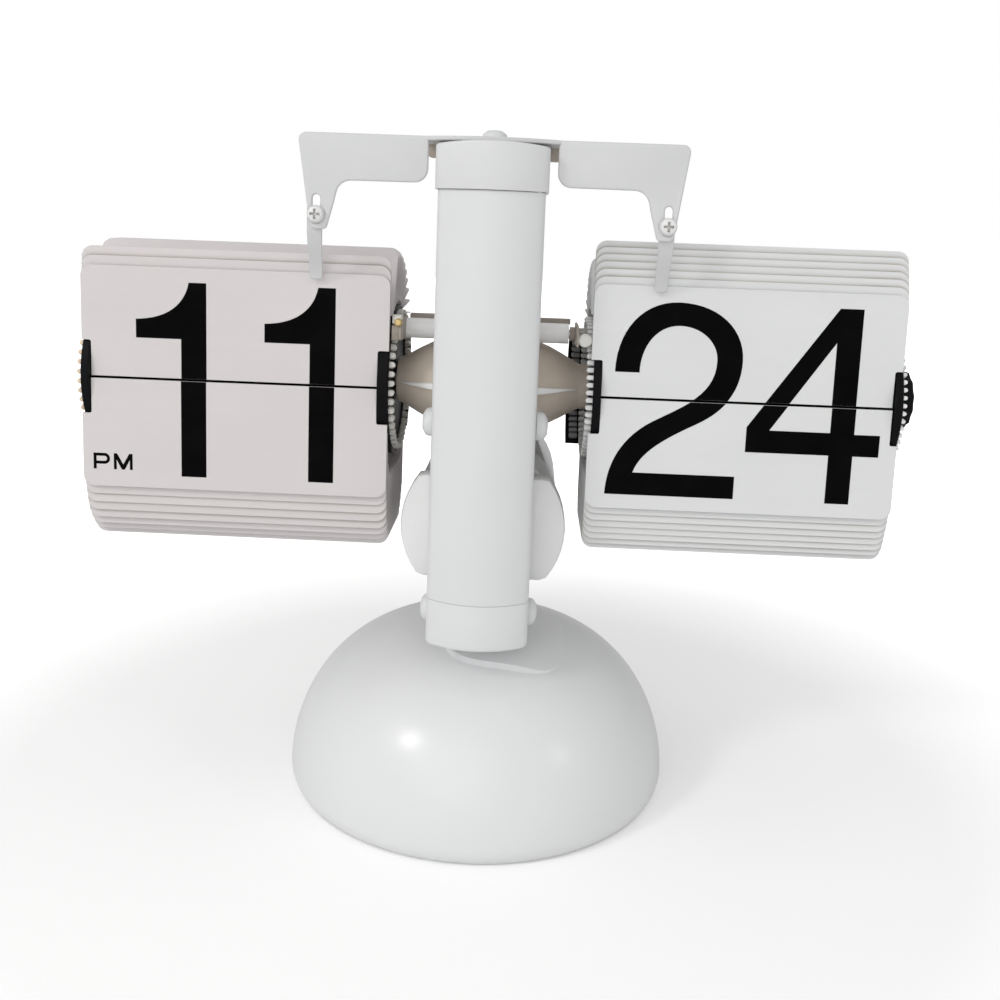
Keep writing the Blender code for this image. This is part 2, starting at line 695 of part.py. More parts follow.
def fan_outline(first, last, step, lean, thick):
    """Comb outline (y, z) of leaves draped back over the drum."""
    phis = np.arange(first, last + 0.01, step)
    leaves = []
    for phi in phis:
        a = math.radians(phi - lean)
        tip_way = np.array([math.sin(a), math.cos(a)])
        face_way = np.array([-math.cos(a), math.sin(a)])
        leaves.append((pivot(phi), tip_way, face_way))
    out = []
    for k, (p, d, n) in enumerate(leaves):
        if k == 0:
            out.append(p + n * thick / 2)
        out.append(p + d * LEAF_L + n * thick / 2)
        out.append(p + d * LEAF_L - n * thick / 2)
        if k + 1 < len(leaves):
            q, e, m = leaves[k + 1]
            s = crossing(p - n * thick / 2, d, q + m * thick / 2, e)
            out.append(p - n * thick / 2 + d * max(1.5, min(s, LEAF_L - 2)))
        else:
            out.append(p - n * thick / 2)
    inner = [tuple(np.array([0, AXIS_Z]) + (pivot(phi) - np.array([0, AXIS_Z])) * 0.965)
             for phi in np.arange(last, first - 0.01, -step / 2)]
    return [tuple(p) for p in out] + inner


def stair_outline(count, step):
    """Stepped outline of the upright leaves just behind the front one."""
    out = []
    y = HINGE_Y + 1.0
    for k in range(1, count + 1):
        top = AXIS_Z + PIVOT_R * math.sin(math.radians(k * step)) + LEAF_L
        out += [(y, top), (y + 0.5, top)]
        y += 0.5
    back = y
    return [(HINGE_Y + 1.0, AXIS_Z + 0.5)] + out + [(back, AXIS_Z + 9.0), (back - 0.5, AXIS_Z + 6.0)]


def hanging_outline(step, last, gather):
    """Comb outline of the leaves hanging below the drum, front stack first."""
    teeth = []
    y = HINGE_Y + 1.0
    theta = step
    while theta <= last:
        natural = -PIVOT_R * math.cos(math.radians(theta))
        low = AXIS_Z - PIVOT_R * math.sin(math.radians(theta)) - LEAF_L
        y = max(y, natural)
        teeth.append((y, low, theta))
        y += 0.5
        theta += step if theta < gather else step * 2
    out = [(HINGE_Y + 1.0, AXIS_Z - 0.8)]
    for k, (y0, low, theta) in enumerate(teeth):
        wide = 0.5 if theta < gather else 0.8
        out += [(y0, low), (y0 + wide, low)]
        if k + 1 < len(teeth) and teeth[k + 1][0] - y0 - wide > 0.3:
            valley = AXIS_Z - PIVOT_R * math.sin(math.radians(theta + step)) - 3.0
            out += [(y0 + wide, valley), (teeth[k + 1][0], valley)]
    end = teeth[-1]
    out.append((end[0] + 0.8, AXIS_Z - PIVOT_R * math.sin(math.radians(end[2]))))
    for theta in np.arange(end[2] - 4, 20, -8.0):
        p = pivot(-theta) - np.array([0, AXIS_Z])
        out.append(tuple(np.array([0, AXIS_Z]) + p * 0.96))
    out.append((-15.4, AXIS_Z - 5.0))
    out.append((-15.9, AXIS_Z - 0.8))
    return out


def leaf_outline(side, top, bottom, notch_top):
    """Front view (x, z) of a leaf with its two flange notches at the hinge edge."""
    x0, x1 = DRUM_IN, DRUM_OUT
    n0, n1 = x0 + NOTCH_W, x1 - NOTCH_W
    if notch_top:
        shelf = AXIS_Z - NOTCH_H
        pts = [(n0, top), (n0, shelf), (x0, shelf), (x0, bottom), (x1, bottom), (x1, shelf), (n1, shelf),
               (n1, top)]
        radii = [0, 0, 0, CORNER_R, CORNER_R, 0, 0, 0]
    else:
        shelf = AXIS_Z + NOTCH_H
        pts = [(n0, bottom), (n1, bottom), (n1, shelf), (x1, shelf), (x1, top), (x0, top), (x0, shelf),
               (n0, shelf)]
        radii = [0, 0, 0, 0, CORNER_R, CORNER_R, 0, 0]
    return mirrored(rounded(pts, radii, 3), side)


def notch_tools(name, side):
    tools = []
    for k, (lo, hi) in enumerate(((DRUM_IN - 1, DRUM_IN + NOTCH_W), (DRUM_OUT - NOTCH_W, DRUM_OUT + 1))):
        a, b = span(side, lo, hi)
        tools.append(rod("tool_%s_notch_%d" % (name, k), FLANGE_R + GAP, "X", (0, AXIS_Z), a, b, 40))
    return tools


def tooth_ring(name, side, teeth):
    """The ring of leaf pivots that shows beside the inner flange."""
    outer, inner = [], []
    whole = 360.0 / teeth
    for i in range(teeth):
        for share, r in ((-0.26, RING_OUT), (0.26, RING_OUT), (0.5, RING_OUT - 0.9)):
            a = math.radians(whole * (i + 0.5 + share))
            outer.append((-r * math.cos(a), AXIS_Z + r * math.sin(a)))
            inner.append((-RING_IN * math.cos(a), AXIS_Z + RING_IN * math.sin(a)))
    a, b = span(side, *RING_X)
    return ring_prism(name, outer, inner, "X", a, b, origin=(0, 0, AXIS_Z), color=CREAM, rough=0.5)


def flange(name, side, lo, hi):
    a, b = span(side, lo, hi)
    mid = (a + b) / 2
    web = 0.6
    rim = FLANGE_R - 2.2
    profile = [(2.2, mid - web), (rim, mid - web), (rim, a), (FLANGE_R, a), (FLANGE_R, b), (rim, b),
               (rim, mid + web), (2.2, mid + web)]
    ob = lathe(name, profile, "X", (0, AXIS_Z), 32, origin=(0, 0, AXIS_Z), color=BLACK, rough=0.35)
    smooth(ob)
    return ob


def build_wheel(word, side, leaves):
    flange(word + "_flange_inner", side, *FLANGE_IN)
    flange(word + "_flange_outer", side, *FLANGE_OUT)
    tooth_ring(word + "_pivot_ring", side, leaves)
    a, b = span(side, 27.3, 94.9)
    black = {"color": BLACK, "rough": 0.5}
    hub = tube(word + "_hub", 6.0, 2.2, "X", (0, AXIS_Z), a, b, 28, origin=(0, 0, AXIS_Z), **black)
    smooth(hub)


def build_leaves(word, side, leaves, upright):
    step = 360.0 / leaves
    a, b = span(side, DRUM_IN, DRUM_OUT)
    paper = {"rough": 0.45}
    front_y = HINGE_Y + 0.2
    outline = leaf_outline(side, AXIS_Z + LEAF_L, AXIS_Z + 0.4, False)
    prism(word + "_leaf_upper_front", outline, "Y", front_y, front_y + LEAF_T, **paper)
    outline = leaf_outline(side, AXIS_Z - 0.45, AXIS_Z - LEAF_L, True)
    half = LEAF_T / 2
    origin = (0, HINGE_Y, AXIS_Z)
    prism(word + "_leaf_lower_front", outline, "Y", HINGE_Y - half, HINGE_Y + half, origin=origin, **paper)
    upper = prism(word + "_leaves_upright", stair_outline(upright, step), "X", a, b, **paper)
    cut(upper, *notch_tools(word + "_upright", side))
    start = (upright + 1) * step + (3 if word == "minute" else 9)
    rear = prism(word + "_leaves_draped", fan_outline(start, 166, step * 2.5, 5, 1.0), "X", a, b, **paper)
    cut(rear, *notch_tools(word + "_draped", side))
    low = prism(word + "_leaves_hanging", hanging_outline(step, 160, 66), "X", a, b, **paper)
    cut(low, *notch_tools(word + "_hanging", side))


def build_axles():
    thin_end, shoulder, far = MINUTE_AXLE
    minute = [(0, thin_end), (AXLE_THIN_R, thin_end), (AXLE_THIN_R, shoulder), (AXLE_R, shoulder)]
    minute += [(AXLE_R, far), (0, far)]
    near, far = HOUR_AXLE
    hour = [(0, near), (AXLE_R, near), (AXLE_R, far), (0, far)]
    steel = {"color": STEEL, "rough": 0.25, "metal": 1.0}
    for word, side, half in (("hour", -1, hour), ("minute", 1, minute)):
        profile = [(r, side * x) for r, x in half]
        ob = lathe(word + "_axle", profile, "X", (0, AXIS_Z), 24, origin=(0, 0, AXIS_Z), **steel)
        smooth(ob)


def build_knob():
    outline = []
    for i in range(24):
        t = 2 * math.pi * i / 24
        r = KNOB_R[i % 2]
        outline.append((r * math.cos(t), AXIS_Z + r * math.sin(t)))
    knob = prism("setting_knob", outline, "X", *KNOB_X, origin=(0, 0, AXIS_Z), color=BLACK, rough=0.35)
    bevel = knob.modifiers.new("edge", "BEVEL")
    bevel.width = 1.2 * MM
    bevel.segments = 2
    bevel.limit_method = "ANGLE"
    bevel.angle_limit = math.radians(60)
    smooth(knob)


def build_clock():
    build_foot()
    build_column()
    build_side_screws()
    build_beam()
    build_fingers()
    build_drum()
    build_movement()
    build_arms()
    build_carry()
    build_axles()
    for word, side, leaves, upright in (("hour", -1, HOUR_LEAVES, 2), ("minute", 1, MINUTE_LEAVES, 6)):
        build_wheel(word, side, leaves)
        build_leaves(word, side, leaves, upright)
    build_knob()


clear_scene()
build_clock()
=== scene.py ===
# Looks of a flip number clock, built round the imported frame. Lengths are in millimetres until a mesh is made.
import json
import math

import bmesh
import bpy
import numpy as np
from mathutils import Matrix, Vector


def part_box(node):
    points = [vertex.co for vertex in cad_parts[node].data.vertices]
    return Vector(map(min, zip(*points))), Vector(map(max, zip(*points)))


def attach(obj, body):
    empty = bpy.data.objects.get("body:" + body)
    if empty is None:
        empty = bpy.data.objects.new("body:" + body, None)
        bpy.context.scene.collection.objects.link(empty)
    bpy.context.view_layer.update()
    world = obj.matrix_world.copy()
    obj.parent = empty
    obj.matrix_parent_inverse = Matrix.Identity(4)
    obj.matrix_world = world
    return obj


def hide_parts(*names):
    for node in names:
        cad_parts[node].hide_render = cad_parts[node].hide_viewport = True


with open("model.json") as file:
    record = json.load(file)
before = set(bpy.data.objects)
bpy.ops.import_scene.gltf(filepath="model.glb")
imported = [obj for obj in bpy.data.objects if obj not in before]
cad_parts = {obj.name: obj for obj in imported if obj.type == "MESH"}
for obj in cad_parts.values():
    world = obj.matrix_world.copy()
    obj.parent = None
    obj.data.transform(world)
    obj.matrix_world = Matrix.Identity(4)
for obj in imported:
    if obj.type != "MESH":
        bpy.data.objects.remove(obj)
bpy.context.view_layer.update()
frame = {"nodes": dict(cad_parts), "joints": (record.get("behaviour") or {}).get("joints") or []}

MM = 0.001
FRAME = "frame"


def node_box(name):
    """Corners of a CAD node in millimetres."""
    lo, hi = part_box(name)
    return lo / MM, hi / MM


def reach(name):
    """Nearest and farthest distance of a node from the middle plane."""
    lo, hi = node_box(name)
    near, far = sorted((abs(lo.x), abs(hi.x)))
    return near, far


def middle(name):
    """Centre of a node's box."""
    lo, hi = node_box(name)
    return (lo + hi) / 2


# Drum geometry taken from the frame
JOINT = {j["name"]: j for j in frame["joints"]}
AXIS = JOINT["minute_spin"]["pos_m"][2] / MM
HINGE_Y = JOINT["minute_leaf_flip"]["pos_m"][1] / MM
LEAF_LO, LEAF_HI = node_box("minute_leaf_upper_front")
LOW_LO = node_box("minute_leaf_lower_front")[0]
LEAF_T = LEAF_HI.y - LEAF_LO.y
LEAF_L = LEAF_HI.z - AXIS
LEAF_COUNT = {"hour": 48, "minute": 60}
SIDE = {"hour": -1, "minute": 1}
PIVOT_R = 17.2
HINGE_GAP = 0.28
CORNER_R = 2.6

# How far a drum's leaves and discs are moved outward from the CAD's, at their inner and their outer end
LEAF_PLAY = {"hour": (-0.4, -0.1), "minute": (0.5, 0.0)}
DISC_PLAY = {"hour": (-0.7, -0.45), "minute": (1.0, 0.1)}
# Thickness of the inner and the outer disc, and length of the pivots on the inner one
DISC_THICK = {"hour": (2.7, 1.95), "minute": (1.9, 1.8)}
PIVOT_LENGTH = {"hour": 1.4, "minute": 1.65}
# How far a leaf's notches reach in from its inner and its outer end, and how high they are
NOTCH = {"hour": (2.7, 2.3), "minute": (2.7, 1.8)}
NOTCH_H = 8.9

# The leaves behind the front ones: thickness, start behind the hinge line, and distance to the next
PACK_LEAF = 0.42
PACK_START = 1.0
PACK_PITCH = 0.5
UPRIGHT_COUNT = {"hour": 2, "minute": 6}
# The draped leaves in degrees: gap after the upright ones, last one, and lean
DRAPE_GAP = {"hour": 9, "minute": 3}
DRAPE_END = 166
DRAPE_LEAN = 5.0
# The hanging leaves: last one in degrees, and how far below the axis the lowest hinge point lies
HANG_END = 160
HANG = {"hour": 13.7, "minute": 11.7}


def leaf_span(word):
    """Inner and outer end of a drum's leaves."""
    near, far = reach(word + "_leaf_upper_front")
    return near + LEAF_PLAY[word][0], far + LEAF_PLAY[word][1]


def disc_spans(word):
    """Faces of the inner and the outer disc, as distances from the middle plane."""
    near = reach(word + "_flange_inner")[0] + DISC_PLAY[word][0]
    far = reach(word + "_flange_outer")[1] + DISC_PLAY[word][1]
    return (near, near + DISC_THICK[word][0]), (far - DISC_THICK[word][1], far)


# Materials

class Tree:
    """Small helper for node materials."""

    def __init__(self, name):
        self.mat = bpy.data.materials.new(name)
        self.mat.use_nodes = True
        self.nodes = self.mat.node_tree.nodes
        self.links = self.mat.node_tree.links
        self.shader = self.nodes["Principled BSDF"]
        self.coords = self.add("ShaderNodeTexCoord").outputs["Object"]

    def add(self, kind, **values):
        node = self.nodes.new(kind)
        for key, value in values.items():
            setattr(node, key, value)
        return node

    def wire(self, socket, value):
        """Links a socket, or sets a plain value."""
        if isinstance(value, bpy.types.NodeSocket):
            self.links.new(value, socket)
        else:
            socket.default_value = value

    def look(self, name, value):
        """Links or sets one input of the surface shader."""
        self.wire(self.shader.inputs[name], value)

    def noise(self, scale, detail=3.0, stretch=(1, 1, 1)):
        """Noise from 0 to 1 whose features are about 1 / scale metres."""
        mapping = self.add("ShaderNodeMapping")
        mapping.inputs["Scale"].default_value = stretch
        self.links.new(self.coords, mapping.inputs["Vector"])
        node = self.add("ShaderNodeTexNoise")
        node.inputs["Scale"].default_value = scale
        node.inputs["Detail"].default_value = detail
        self.links.new(mapping.outputs["Vector"], node.inputs["Vector"])
        return node.outputs["Fac"]

    def spread(self, value, lo, hi, a=0.35, b=0.65):
        """The range a to b of a value, mapped to lo to hi."""
        node = self.add("ShaderNodeMapRange")
        for key, number in (("From Min", a), ("From Max", b), ("To Min", lo), ("To Max", hi)):
            node.inputs[key].default_value = number
        self.wire(node.inputs["Value"], value)
        return node.outputs["Result"]

    def math(self, kind, a, b):
        node = self.add("ShaderNodeMath", operation=kind)
        self.wire(node.inputs[0], a)
        self.wire(node.inputs[1], b)
        return node.outputs[0]

    def mix(self, factor, a, b):
        """From colour a at a factor of 0 to colour b at 1."""
        node = self.add("ShaderNodeMix", data_type="RGBA")
        self.wire(node.inputs["Factor"], factor)
        self.wire(node.inputs[6], a)
        self.wire(node.inputs[7], b)
        return node.outputs[2]

    def gain(self, colour, value):
        """Colour multiplied by a value."""
        node = self.add("ShaderNodeVectorMath", operation="SCALE")
        self.wire(node.inputs[0], colour)
        self.wire(node.inputs["Scale"], value)
        return node.outputs["Vector"]

    def rounded(self, radius):
        """Normal with every hard edge rounded by the radius in millimetres, and a mask of those edges."""
        bevel = self.add("ShaderNodeBevel", samples=4)
        bevel.inputs["Radius"].default_value = radius * MM
        plain = self.add("ShaderNodeNewGeometry").outputs["Normal"]
        dot = self.add("ShaderNodeVectorMath", operation="DOT_PRODUCT")
        self.links.new(bevel.outputs["Normal"], dot.inputs[0])
        self.links.new(plain, dot.inputs[1])
        return bevel.outputs["Normal"], self.spread(dot.outputs["Value"], 1.0, 0.0, 0.75, 0.99)


def mottled(t, colour, wide, mottle, flow, island):
    """Colour with wide mottling, flow bands and a small change from one loose leaf to the next."""
    base = t.gain(colour, t.spread(wide, 1.0 - mottle, 1.0 + mottle))
    if flow:
        bands = t.noise(60.0, 2.0, (0.15, 1.0, 6.0))
        base = t.gain(base, t.spread(bands, 1.0 - flow, 1.0 + flow))
    if island:
        random = t.add("ShaderNodeNewGeometry").outputs["Random Per Island"]
        base = t.gain(base, t.spread(random, 1.0 - island, 1.0, 0.0, 1.0))
    return base


def worn(t, base, uneven, mask, edge, colour):
    """Patches of another colour and a duller gloss along the edges."""
    patches = t.math("MULTIPLY", mask, t.spread(t.noise(900.0, 4.0), 0.0, edge, 0.4, 0.75))
    return t.mix(patches, base, (*colour, 1)), t.math("ADD", uneven, t.math("MULTIPLY", patches, 0.2))


def painted_crease_shade(t, base, wide, share, distance, top, colour):
    """Painted shade: darker colour where a piece closes in on itself within a distance in millimetres, standing
    in for the shade in its creases.
    """
    shade = t.add("ShaderNodeAmbientOcclusion", samples=4, only_local=True)
    shade.inputs["Distance"].default_value = distance * MM
    hidden = t.spread(shade.outputs["AO"], share, 0.0, top - 0.6, top)
    hidden = t.math("MULTIPLY", hidden, t.spread(wide, 0.5, 1.0))
    return t.mix(hidden, base, (*colour, 1))


def grained(t, normal, scale, depth, stretch):
    """Normal with fine bumps that are depth millimetres high, on top of rounded edges if there are any."""
    bump = t.add("ShaderNodeBump")
    bump.inputs["Strength"].default_value = 1.0
    bump.inputs["Distance"].default_value = depth * MM
    t.wire(bump.inputs["Height"], t.noise(scale, 2.0, stretch))
    if normal:
        t.wire(bump.inputs["Normal"], normal)
    return bump.outputs["Normal"]


def finish(name, colour, rough, metal=0.0, patchy=1.0, mottle=0.03, mottle_scale=45.0, grain=1800.0,
                    depth=0.012, stretch=(1, 1, 1), edge=0.0, edge_colour=None, edge_radius=0.35, coat=0.0,
                    island=0.0, crease=0.0, crease_reach=2.5, crease_top=0.85,
                    crease_shade_colour=(0.42, 0.38, 0.34), glow=0.0, flow=0.0, gloss=0.5):
    """A procedural finish: mottled colour, uneven gloss, fine grain, worn edges and painted shade in creases.
    """
    t = Tree(name)
    wide = t.noise(mottle_scale, 4.0, stretch)
    base = mottled(t, colour, wide, mottle, flow, island)
    dull = min(1.0, rough * (1 + 0.18 * patchy))
    uneven = t.spread(t.noise(260.0, 3.0, stretch), rough * (1 - 0.14 * patchy), dull)
    normal = None
    if edge:
        normal, mask = t.rounded(edge_radius)
        base, uneven = worn(t, base, uneven, mask, edge, edge_colour)
    # Painted shade: creases and seams darken in the colour itself, standing in for the shade that falls there.
    if crease:
        base = painted_crease_shade(t, base, wide, crease, crease_reach, crease_top, crease_shade_colour)
    t.look("Base Color", base)
    t.look("Roughness", uneven)
    t.look("Normal", grained(t, normal, grain, depth, stretch))
    t.look("Metallic", metal)
    t.look("Specular IOR Level", gloss)
    t.look("Coat Weight", coat)
    t.look("Coat Roughness", 0.18)
    if glow:
        t.look("Subsurface Weight", glow)
        t.look("Subsurface Radius", (0.0012, 0.0010, 0.0008))
    return t.mat


def casing_finishes():
    """Finishes of the foot, the upright, the beam, the arms and the movement."""
    # The crease value of each finish sets how much painted shade goes into its creases and seams.
    return {
        "dome": finish(
            "painted_dome", (0.755, 0.76, 0.765), 0.30, patchy=0.15, mottle=0.006, mottle_scale=20,
            grain=1400, depth=0.0006, coat=0.12),
        "column": finish(
            "satin_white_plastic", (0.70, 0.705, 0.71), 0.42, mottle=0.010, grain=2400, depth=0.006,
            edge=0.25, edge_colour=(0.78, 0.78, 0.78), crease=0.12),
        "cap": finish(
            "satin_white_cap", (0.68, 0.683, 0.687), 0.40, mottle=0.010, grain=2400, depth=0.006, edge=0.25,
            edge_colour=(0.76, 0.76, 0.76), crease=0.3),
        "beam": finish(
            "white_sheet_metal", (0.63, 0.632, 0.638), 0.38, mottle=0.012, grain=1500, depth=0.006, edge=0.4,
            edge_colour=(0.72, 0.72, 0.72), crease=0.3),
        "screw": finish(
            "white_screw", (0.76, 0.76, 0.755), 0.35, mottle=0.03, grain=1500, depth=0.008, edge=0.4,
            edge_colour=(0.62, 0.61, 0.59), crease=0.6),
        # Painted shade: a white moulding tinted grey-brown as if in shadow, for the arms, the guard struts and
        # the beam's rear lip.
        "arm": finish(
            "shade_tinted_moulding", (0.63, 0.55, 0.465), 0.55, mottle=0.04, mottle_scale=90, grain=1600, depth=0.012,
            edge=0.3, edge_colour=(0.72, 0.69, 0.66), crease=0.5),
        "drum": finish(
            "white_moulding", (0.79, 0.79, 0.79), 0.45, mottle=0.02, grain=1700, depth=0.010, edge=0.25,
            edge_colour=(0.86, 0.86, 0.86), crease=0.5),
        # Painted light: a white brighter than the other mouldings, making up for the shade the sleeve sits in;
        # the arm fins use it as a painted highlight.
        "sleeve": finish(
            "lit_white_sleeve", (0.93, 0.925, 0.915), 0.42, mottle=0.02, grain=1900, depth=0.008, edge=0.25,
            edge_colour=(0.92, 0.92, 0.92), crease=0.4),
    }


def leaf_finishes():
    """Finishes of both drums' leaves and of the print on them."""
    # crease, crease_reach, crease_top and the crease colour paint the contact shade between stacked leaves.
    leaf = {"mottle": 0.012, "grain": 2600, "depth": 0.004, "edge": 0.3, "edge_radius": 0.12, "island": 0.05,
            "crease": 1.0, "crease_reach": 1.2, "crease_top": 0.98, "crease_shade_colour": (0.30, 0.25, 0.20),
            "glow": 0.05, "flow": 0.005}
    return {
        "hour_leaf": finish(
            "warm_white_leaf", (0.665, 0.63, 0.627), 0.5, edge_colour=(0.72, 0.70, 0.69), **leaf),
        "minute_leaf": finish(
            "cool_white_leaf", (0.72, 0.727, 0.724), 0.48, edge_colour=(0.78, 0.78, 0.77), **leaf),
        "ink": finish(
            "printed_black", (0.0028, 0.0026, 0.003), 0.55, mottle=0.25, mottle_scale=120, grain=3200,
            depth=0.003, gloss=0.02),
    }


def nylon_finishes():
    """Finishes of gears, pivots and other small mouldings."""
    nylon = {"mottle_scale": 300, "grain": 2200}
    return {
        "black": finish(
            "black_moulding", (0.0055, 0.0055, 0.0065), 0.42, mottle=0.2, grain=1500, depth=0.010, edge=0.35,
            edge_colour=(0.035, 0.036, 0.042), gloss=0.07),
        "cream": finish(
            "cream_nylon", (0.70, 0.685, 0.64), 0.45, mottle=0.06, depth=0.010, edge=0.3,
            edge_colour=(0.82, 0.81, 0.78), glow=0.15, **nylon),
        "white_tip": finish(
            "white_nylon", (0.84, 0.84, 0.83), 0.42, mottle=0.05, depth=0.008, edge=0.3,
            edge_colour=(0.9, 0.9, 0.9), glow=0.15, **nylon),
        "amber": finish(
            "amber_nylon", (0.74, 0.60, 0.44), 0.42, mottle=0.10, depth=0.010, edge=0.3,
            edge_colour=(0.85, 0.76, 0.62), glow=0.15, **nylon),
        "smoke": finish(
            "smoky_nylon", (0.26, 0.225, 0.19), 0.3, mottle=0.15, depth=0.010, edge=0.5,
            edge_colour=(0.55, 0.5, 0.45), **nylon),
    }


def metal_finishes():
    """Finishes of shafts, brackets, the chassis, the weight and the pad under it."""
    return {
        "steel": finish(
            "brushed_steel", (0.52, 0.51, 0.50), 0.30, metal=1.0, mottle=0.06, grain=2600, depth=0.006,
            stretch=(0.15, 1, 1), edge=0.4, edge_colour=(0.75, 0.74, 0.73)),
        "brass": finish(
            "turned_brass", (0.62, 0.46, 0.22), 0.3, metal=1.0, mottle=0.08, grain=2400, depth=0.006,
            edge=0.4, edge_colour=(0.8, 0.66, 0.4)),
        "brown": finish(
            "shaded_bar", (0.36, 0.315, 0.27), 0.5, mottle=0.08, mottle_scale=160, grain=1800, depth=0.012,
            edge=0.4, edge_colour=(0.55, 0.5, 0.46)),
        "grey": finish(
            "grey_chassis", (0.40, 0.40, 0.41), 0.45, metal=0.6, mottle=0.03, mottle_scale=120, grain=1500,
            depth=0.014, edge=0.4, edge_colour=(0.6, 0.6, 0.6)),
        "rubber": finish(
            "black_rubber", (0.022, 0.022, 0.023), 0.85, mottle=0.2, grain=1200, depth=0.04, edge=0.4,
            edge_colour=(0.07, 0.07, 0.07)),
        "iron": finish(
            "cast_iron", (0.07, 0.07, 0.072), 0.62, metal=0.7, mottle=0.25, mottle_scale=180, grain=700,
            depth=0.08, edge=0.5, edge_colour=(0.2, 0.2, 0.2)),
    }


MAT = {**casing_finishes(), **leaf_finishes(), **nylon_finishes(), **metal_finishes()}


# Mesh helpers

def new_object(name, data):
    """An object in the scene."""
    ob = bpy.data.objects.new(name, data)
    bpy.context.scene.collection.objects.link(ob)
    return ob


def add_mesh(name, verts, faces, mat, body=FRAME, smooth=None, bevel=0.0):
    """A piece from points in millimetres, on a body. smooth is the angle under which faces shade as one."""
    mesh = bpy.data.meshes.new(name)
    mesh.from_pydata([Vector(v) * MM for v in verts], [], faces)
    work = bmesh.new()
    work.from_mesh(mesh)
    bmesh.ops.remove_doubles(work, verts=work.verts, dist=1e-7)
    bmesh.ops.recalc_face_normals(work, faces=work.faces)
    work.to_mesh(mesh)
    work.free()
    ob = new_object(name, mesh)
    mesh.materials.append(MAT[mat])
    if smooth:
        mesh.shade_smooth()
        mesh.set_sharp_from_angle(angle=math.radians(smooth))
    if bevel:
        step = ob.modifiers.new("edge", "BEVEL")
        step.width = bevel * MM
        step.segments = 2
        step.limit_method = "ANGLE"
        step.angle_limit = math.radians(50)
        step.harden_normals = bool(smooth)
    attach(ob, body)
    return ob


def along(axis, u, v, w):
    """The point that lies w along an axis and at (u, v) across it."""
    if axis == "X":
        return (w, u, v)
    if axis == "Y":
        return (u, w, v)
    return (u, v, w)


def lathe(name, profile, axis, centre, mat, body=FRAME, segs=96):
    """A closed (radius, height) profile turned about an axis."""
    verts, faces = [], []
    n = len(profile)
    for i in range(segs):
        a = 2 * math.pi * i / segs
        c, s = math.cos(a), math.sin(a)
        verts += [along(axis, centre[0] + r * c, centre[1] + r * s, h) for r, h in profile]
    for i in range(segs):
        j = (i + 1) % segs
        for k in range(n):
            m = (k + 1) % n
            if profile[k][0] == 0 and profile[m][0] == 0:
                continue
            corner = [i * n + k, j * n + k, j * n + m, i * n + m]
            if profile[k][0] == 0:
                corner = [i * n + k, j * n + m, i * n + m]
            elif profile[m][0] == 0:
                corner = [i * n + k, j * n + k, i * n + m]
            faces.append(corner)
    return add_mesh(name, verts, faces, mat, body, smooth=40)


def slab_faces(n, start=0):
    """Faces of a solid whose points are an outline of n points and then the same outline moved along."""
    faces = [[start + i for i in range(n)], [start + i for i in range(2 * n - 1, n - 1, -1)]]
    for i in range(n):
        j = (i + 1) % n
        faces.append([start + i, start + i + n, start + j + n, start + j])
    return faces


def prism(name, outline, axis, lo, hi, mat, **more):
    """An outline pushed along an axis."""
    verts = [along(axis, u, v, end) for end in (lo, hi) for u, v in outline]
    return add_mesh(name, verts, slab_faces(len(outline)), mat, **more)


def arc(cx, cy, r, a0, a1, n):
    """Points of an arc from one angle in degrees to another, in n steps."""
    turns = [math.radians(a0 + (a1 - a0) * i / n) for i in range(n + 1)]
    return [(cx + r * math.cos(t), cy + r * math.sin(t)) for t in turns]


def bezier(p0, c0, c1, p1, n=14):
    """Points of a cubic curve without its first point."""
    p0, c0, c1, p1 = (np.array(p, float) for p in (p0, c0, c1, p1))
    out = []
    for i in range(1, n + 1):
        t = i / n
        s = 1 - t
        out.append(tuple(s ** 3 * p0 + 3 * s * s * t * c0 + 3 * s * t * t * c1 + t ** 3 * p1))
    return out


def rounded_corners(points):
    """Polygon (u, v, radius) with each corner replaced by an arc-like curve."""
    out = []
    n = len(points)
    for i in range(n):
        p = np.array(points[i][:2], float)
        r = points[i][2]
        if r == 0:
            out.append(tuple(p))
            continue
        a = np.array(points[i - 1][:2], float) - p
        b = np.array(points[(i + 1) % n][:2], float) - p
        a, b = a / np.linalg.norm(a), b / np.linalg.norm(b)
        half = math.acos(max(-1, min(1, float(a @ b)))) / 2
        run = r / math.tan(half)
        k = 4 / 3 * math.tan((math.pi - 2 * half) / 4) * r
        start, end = p + a * run, p + b * run
        out.append(tuple(start))
        out += bezier(start, start - a * k, end - b * k, end, 8)
    return out


def filled_mesh(name, loops, half_depth, soft=0.0):
    """Flat mesh of outlines with their holes, half_depth thick each way, with its edges rolled by soft."""
    curve = bpy.data.curves.new("tool_" + name, "CURVE")
    curve.dimensions = "2D"
    curve.fill_mode = "BOTH"
    curve.extrude = half_depth - soft
    curve.bevel_depth = soft
    curve.bevel_resolution = 3
    curve.offset = -soft
    for loop in loops:
        line = curve.splines.new("POLY")
        line.points.add(len(loop) - 1)
        for point, (u, v) in zip(line.points, loop):
            point.co = (u, v, 0, 1)
        line.use_cyclic_u = True
    tool = new_object("tool_" + name, curve)
    mesh = bpy.data.meshes.new_from_object(tool.evaluated_get(bpy.context.evaluated_depsgraph_get()))
    bpy.data.objects.remove(tool)
    return mesh


def stands_for(ob, node):
    """Hides the CAD node that a piece takes the place of."""
    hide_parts(node)


# Leaves

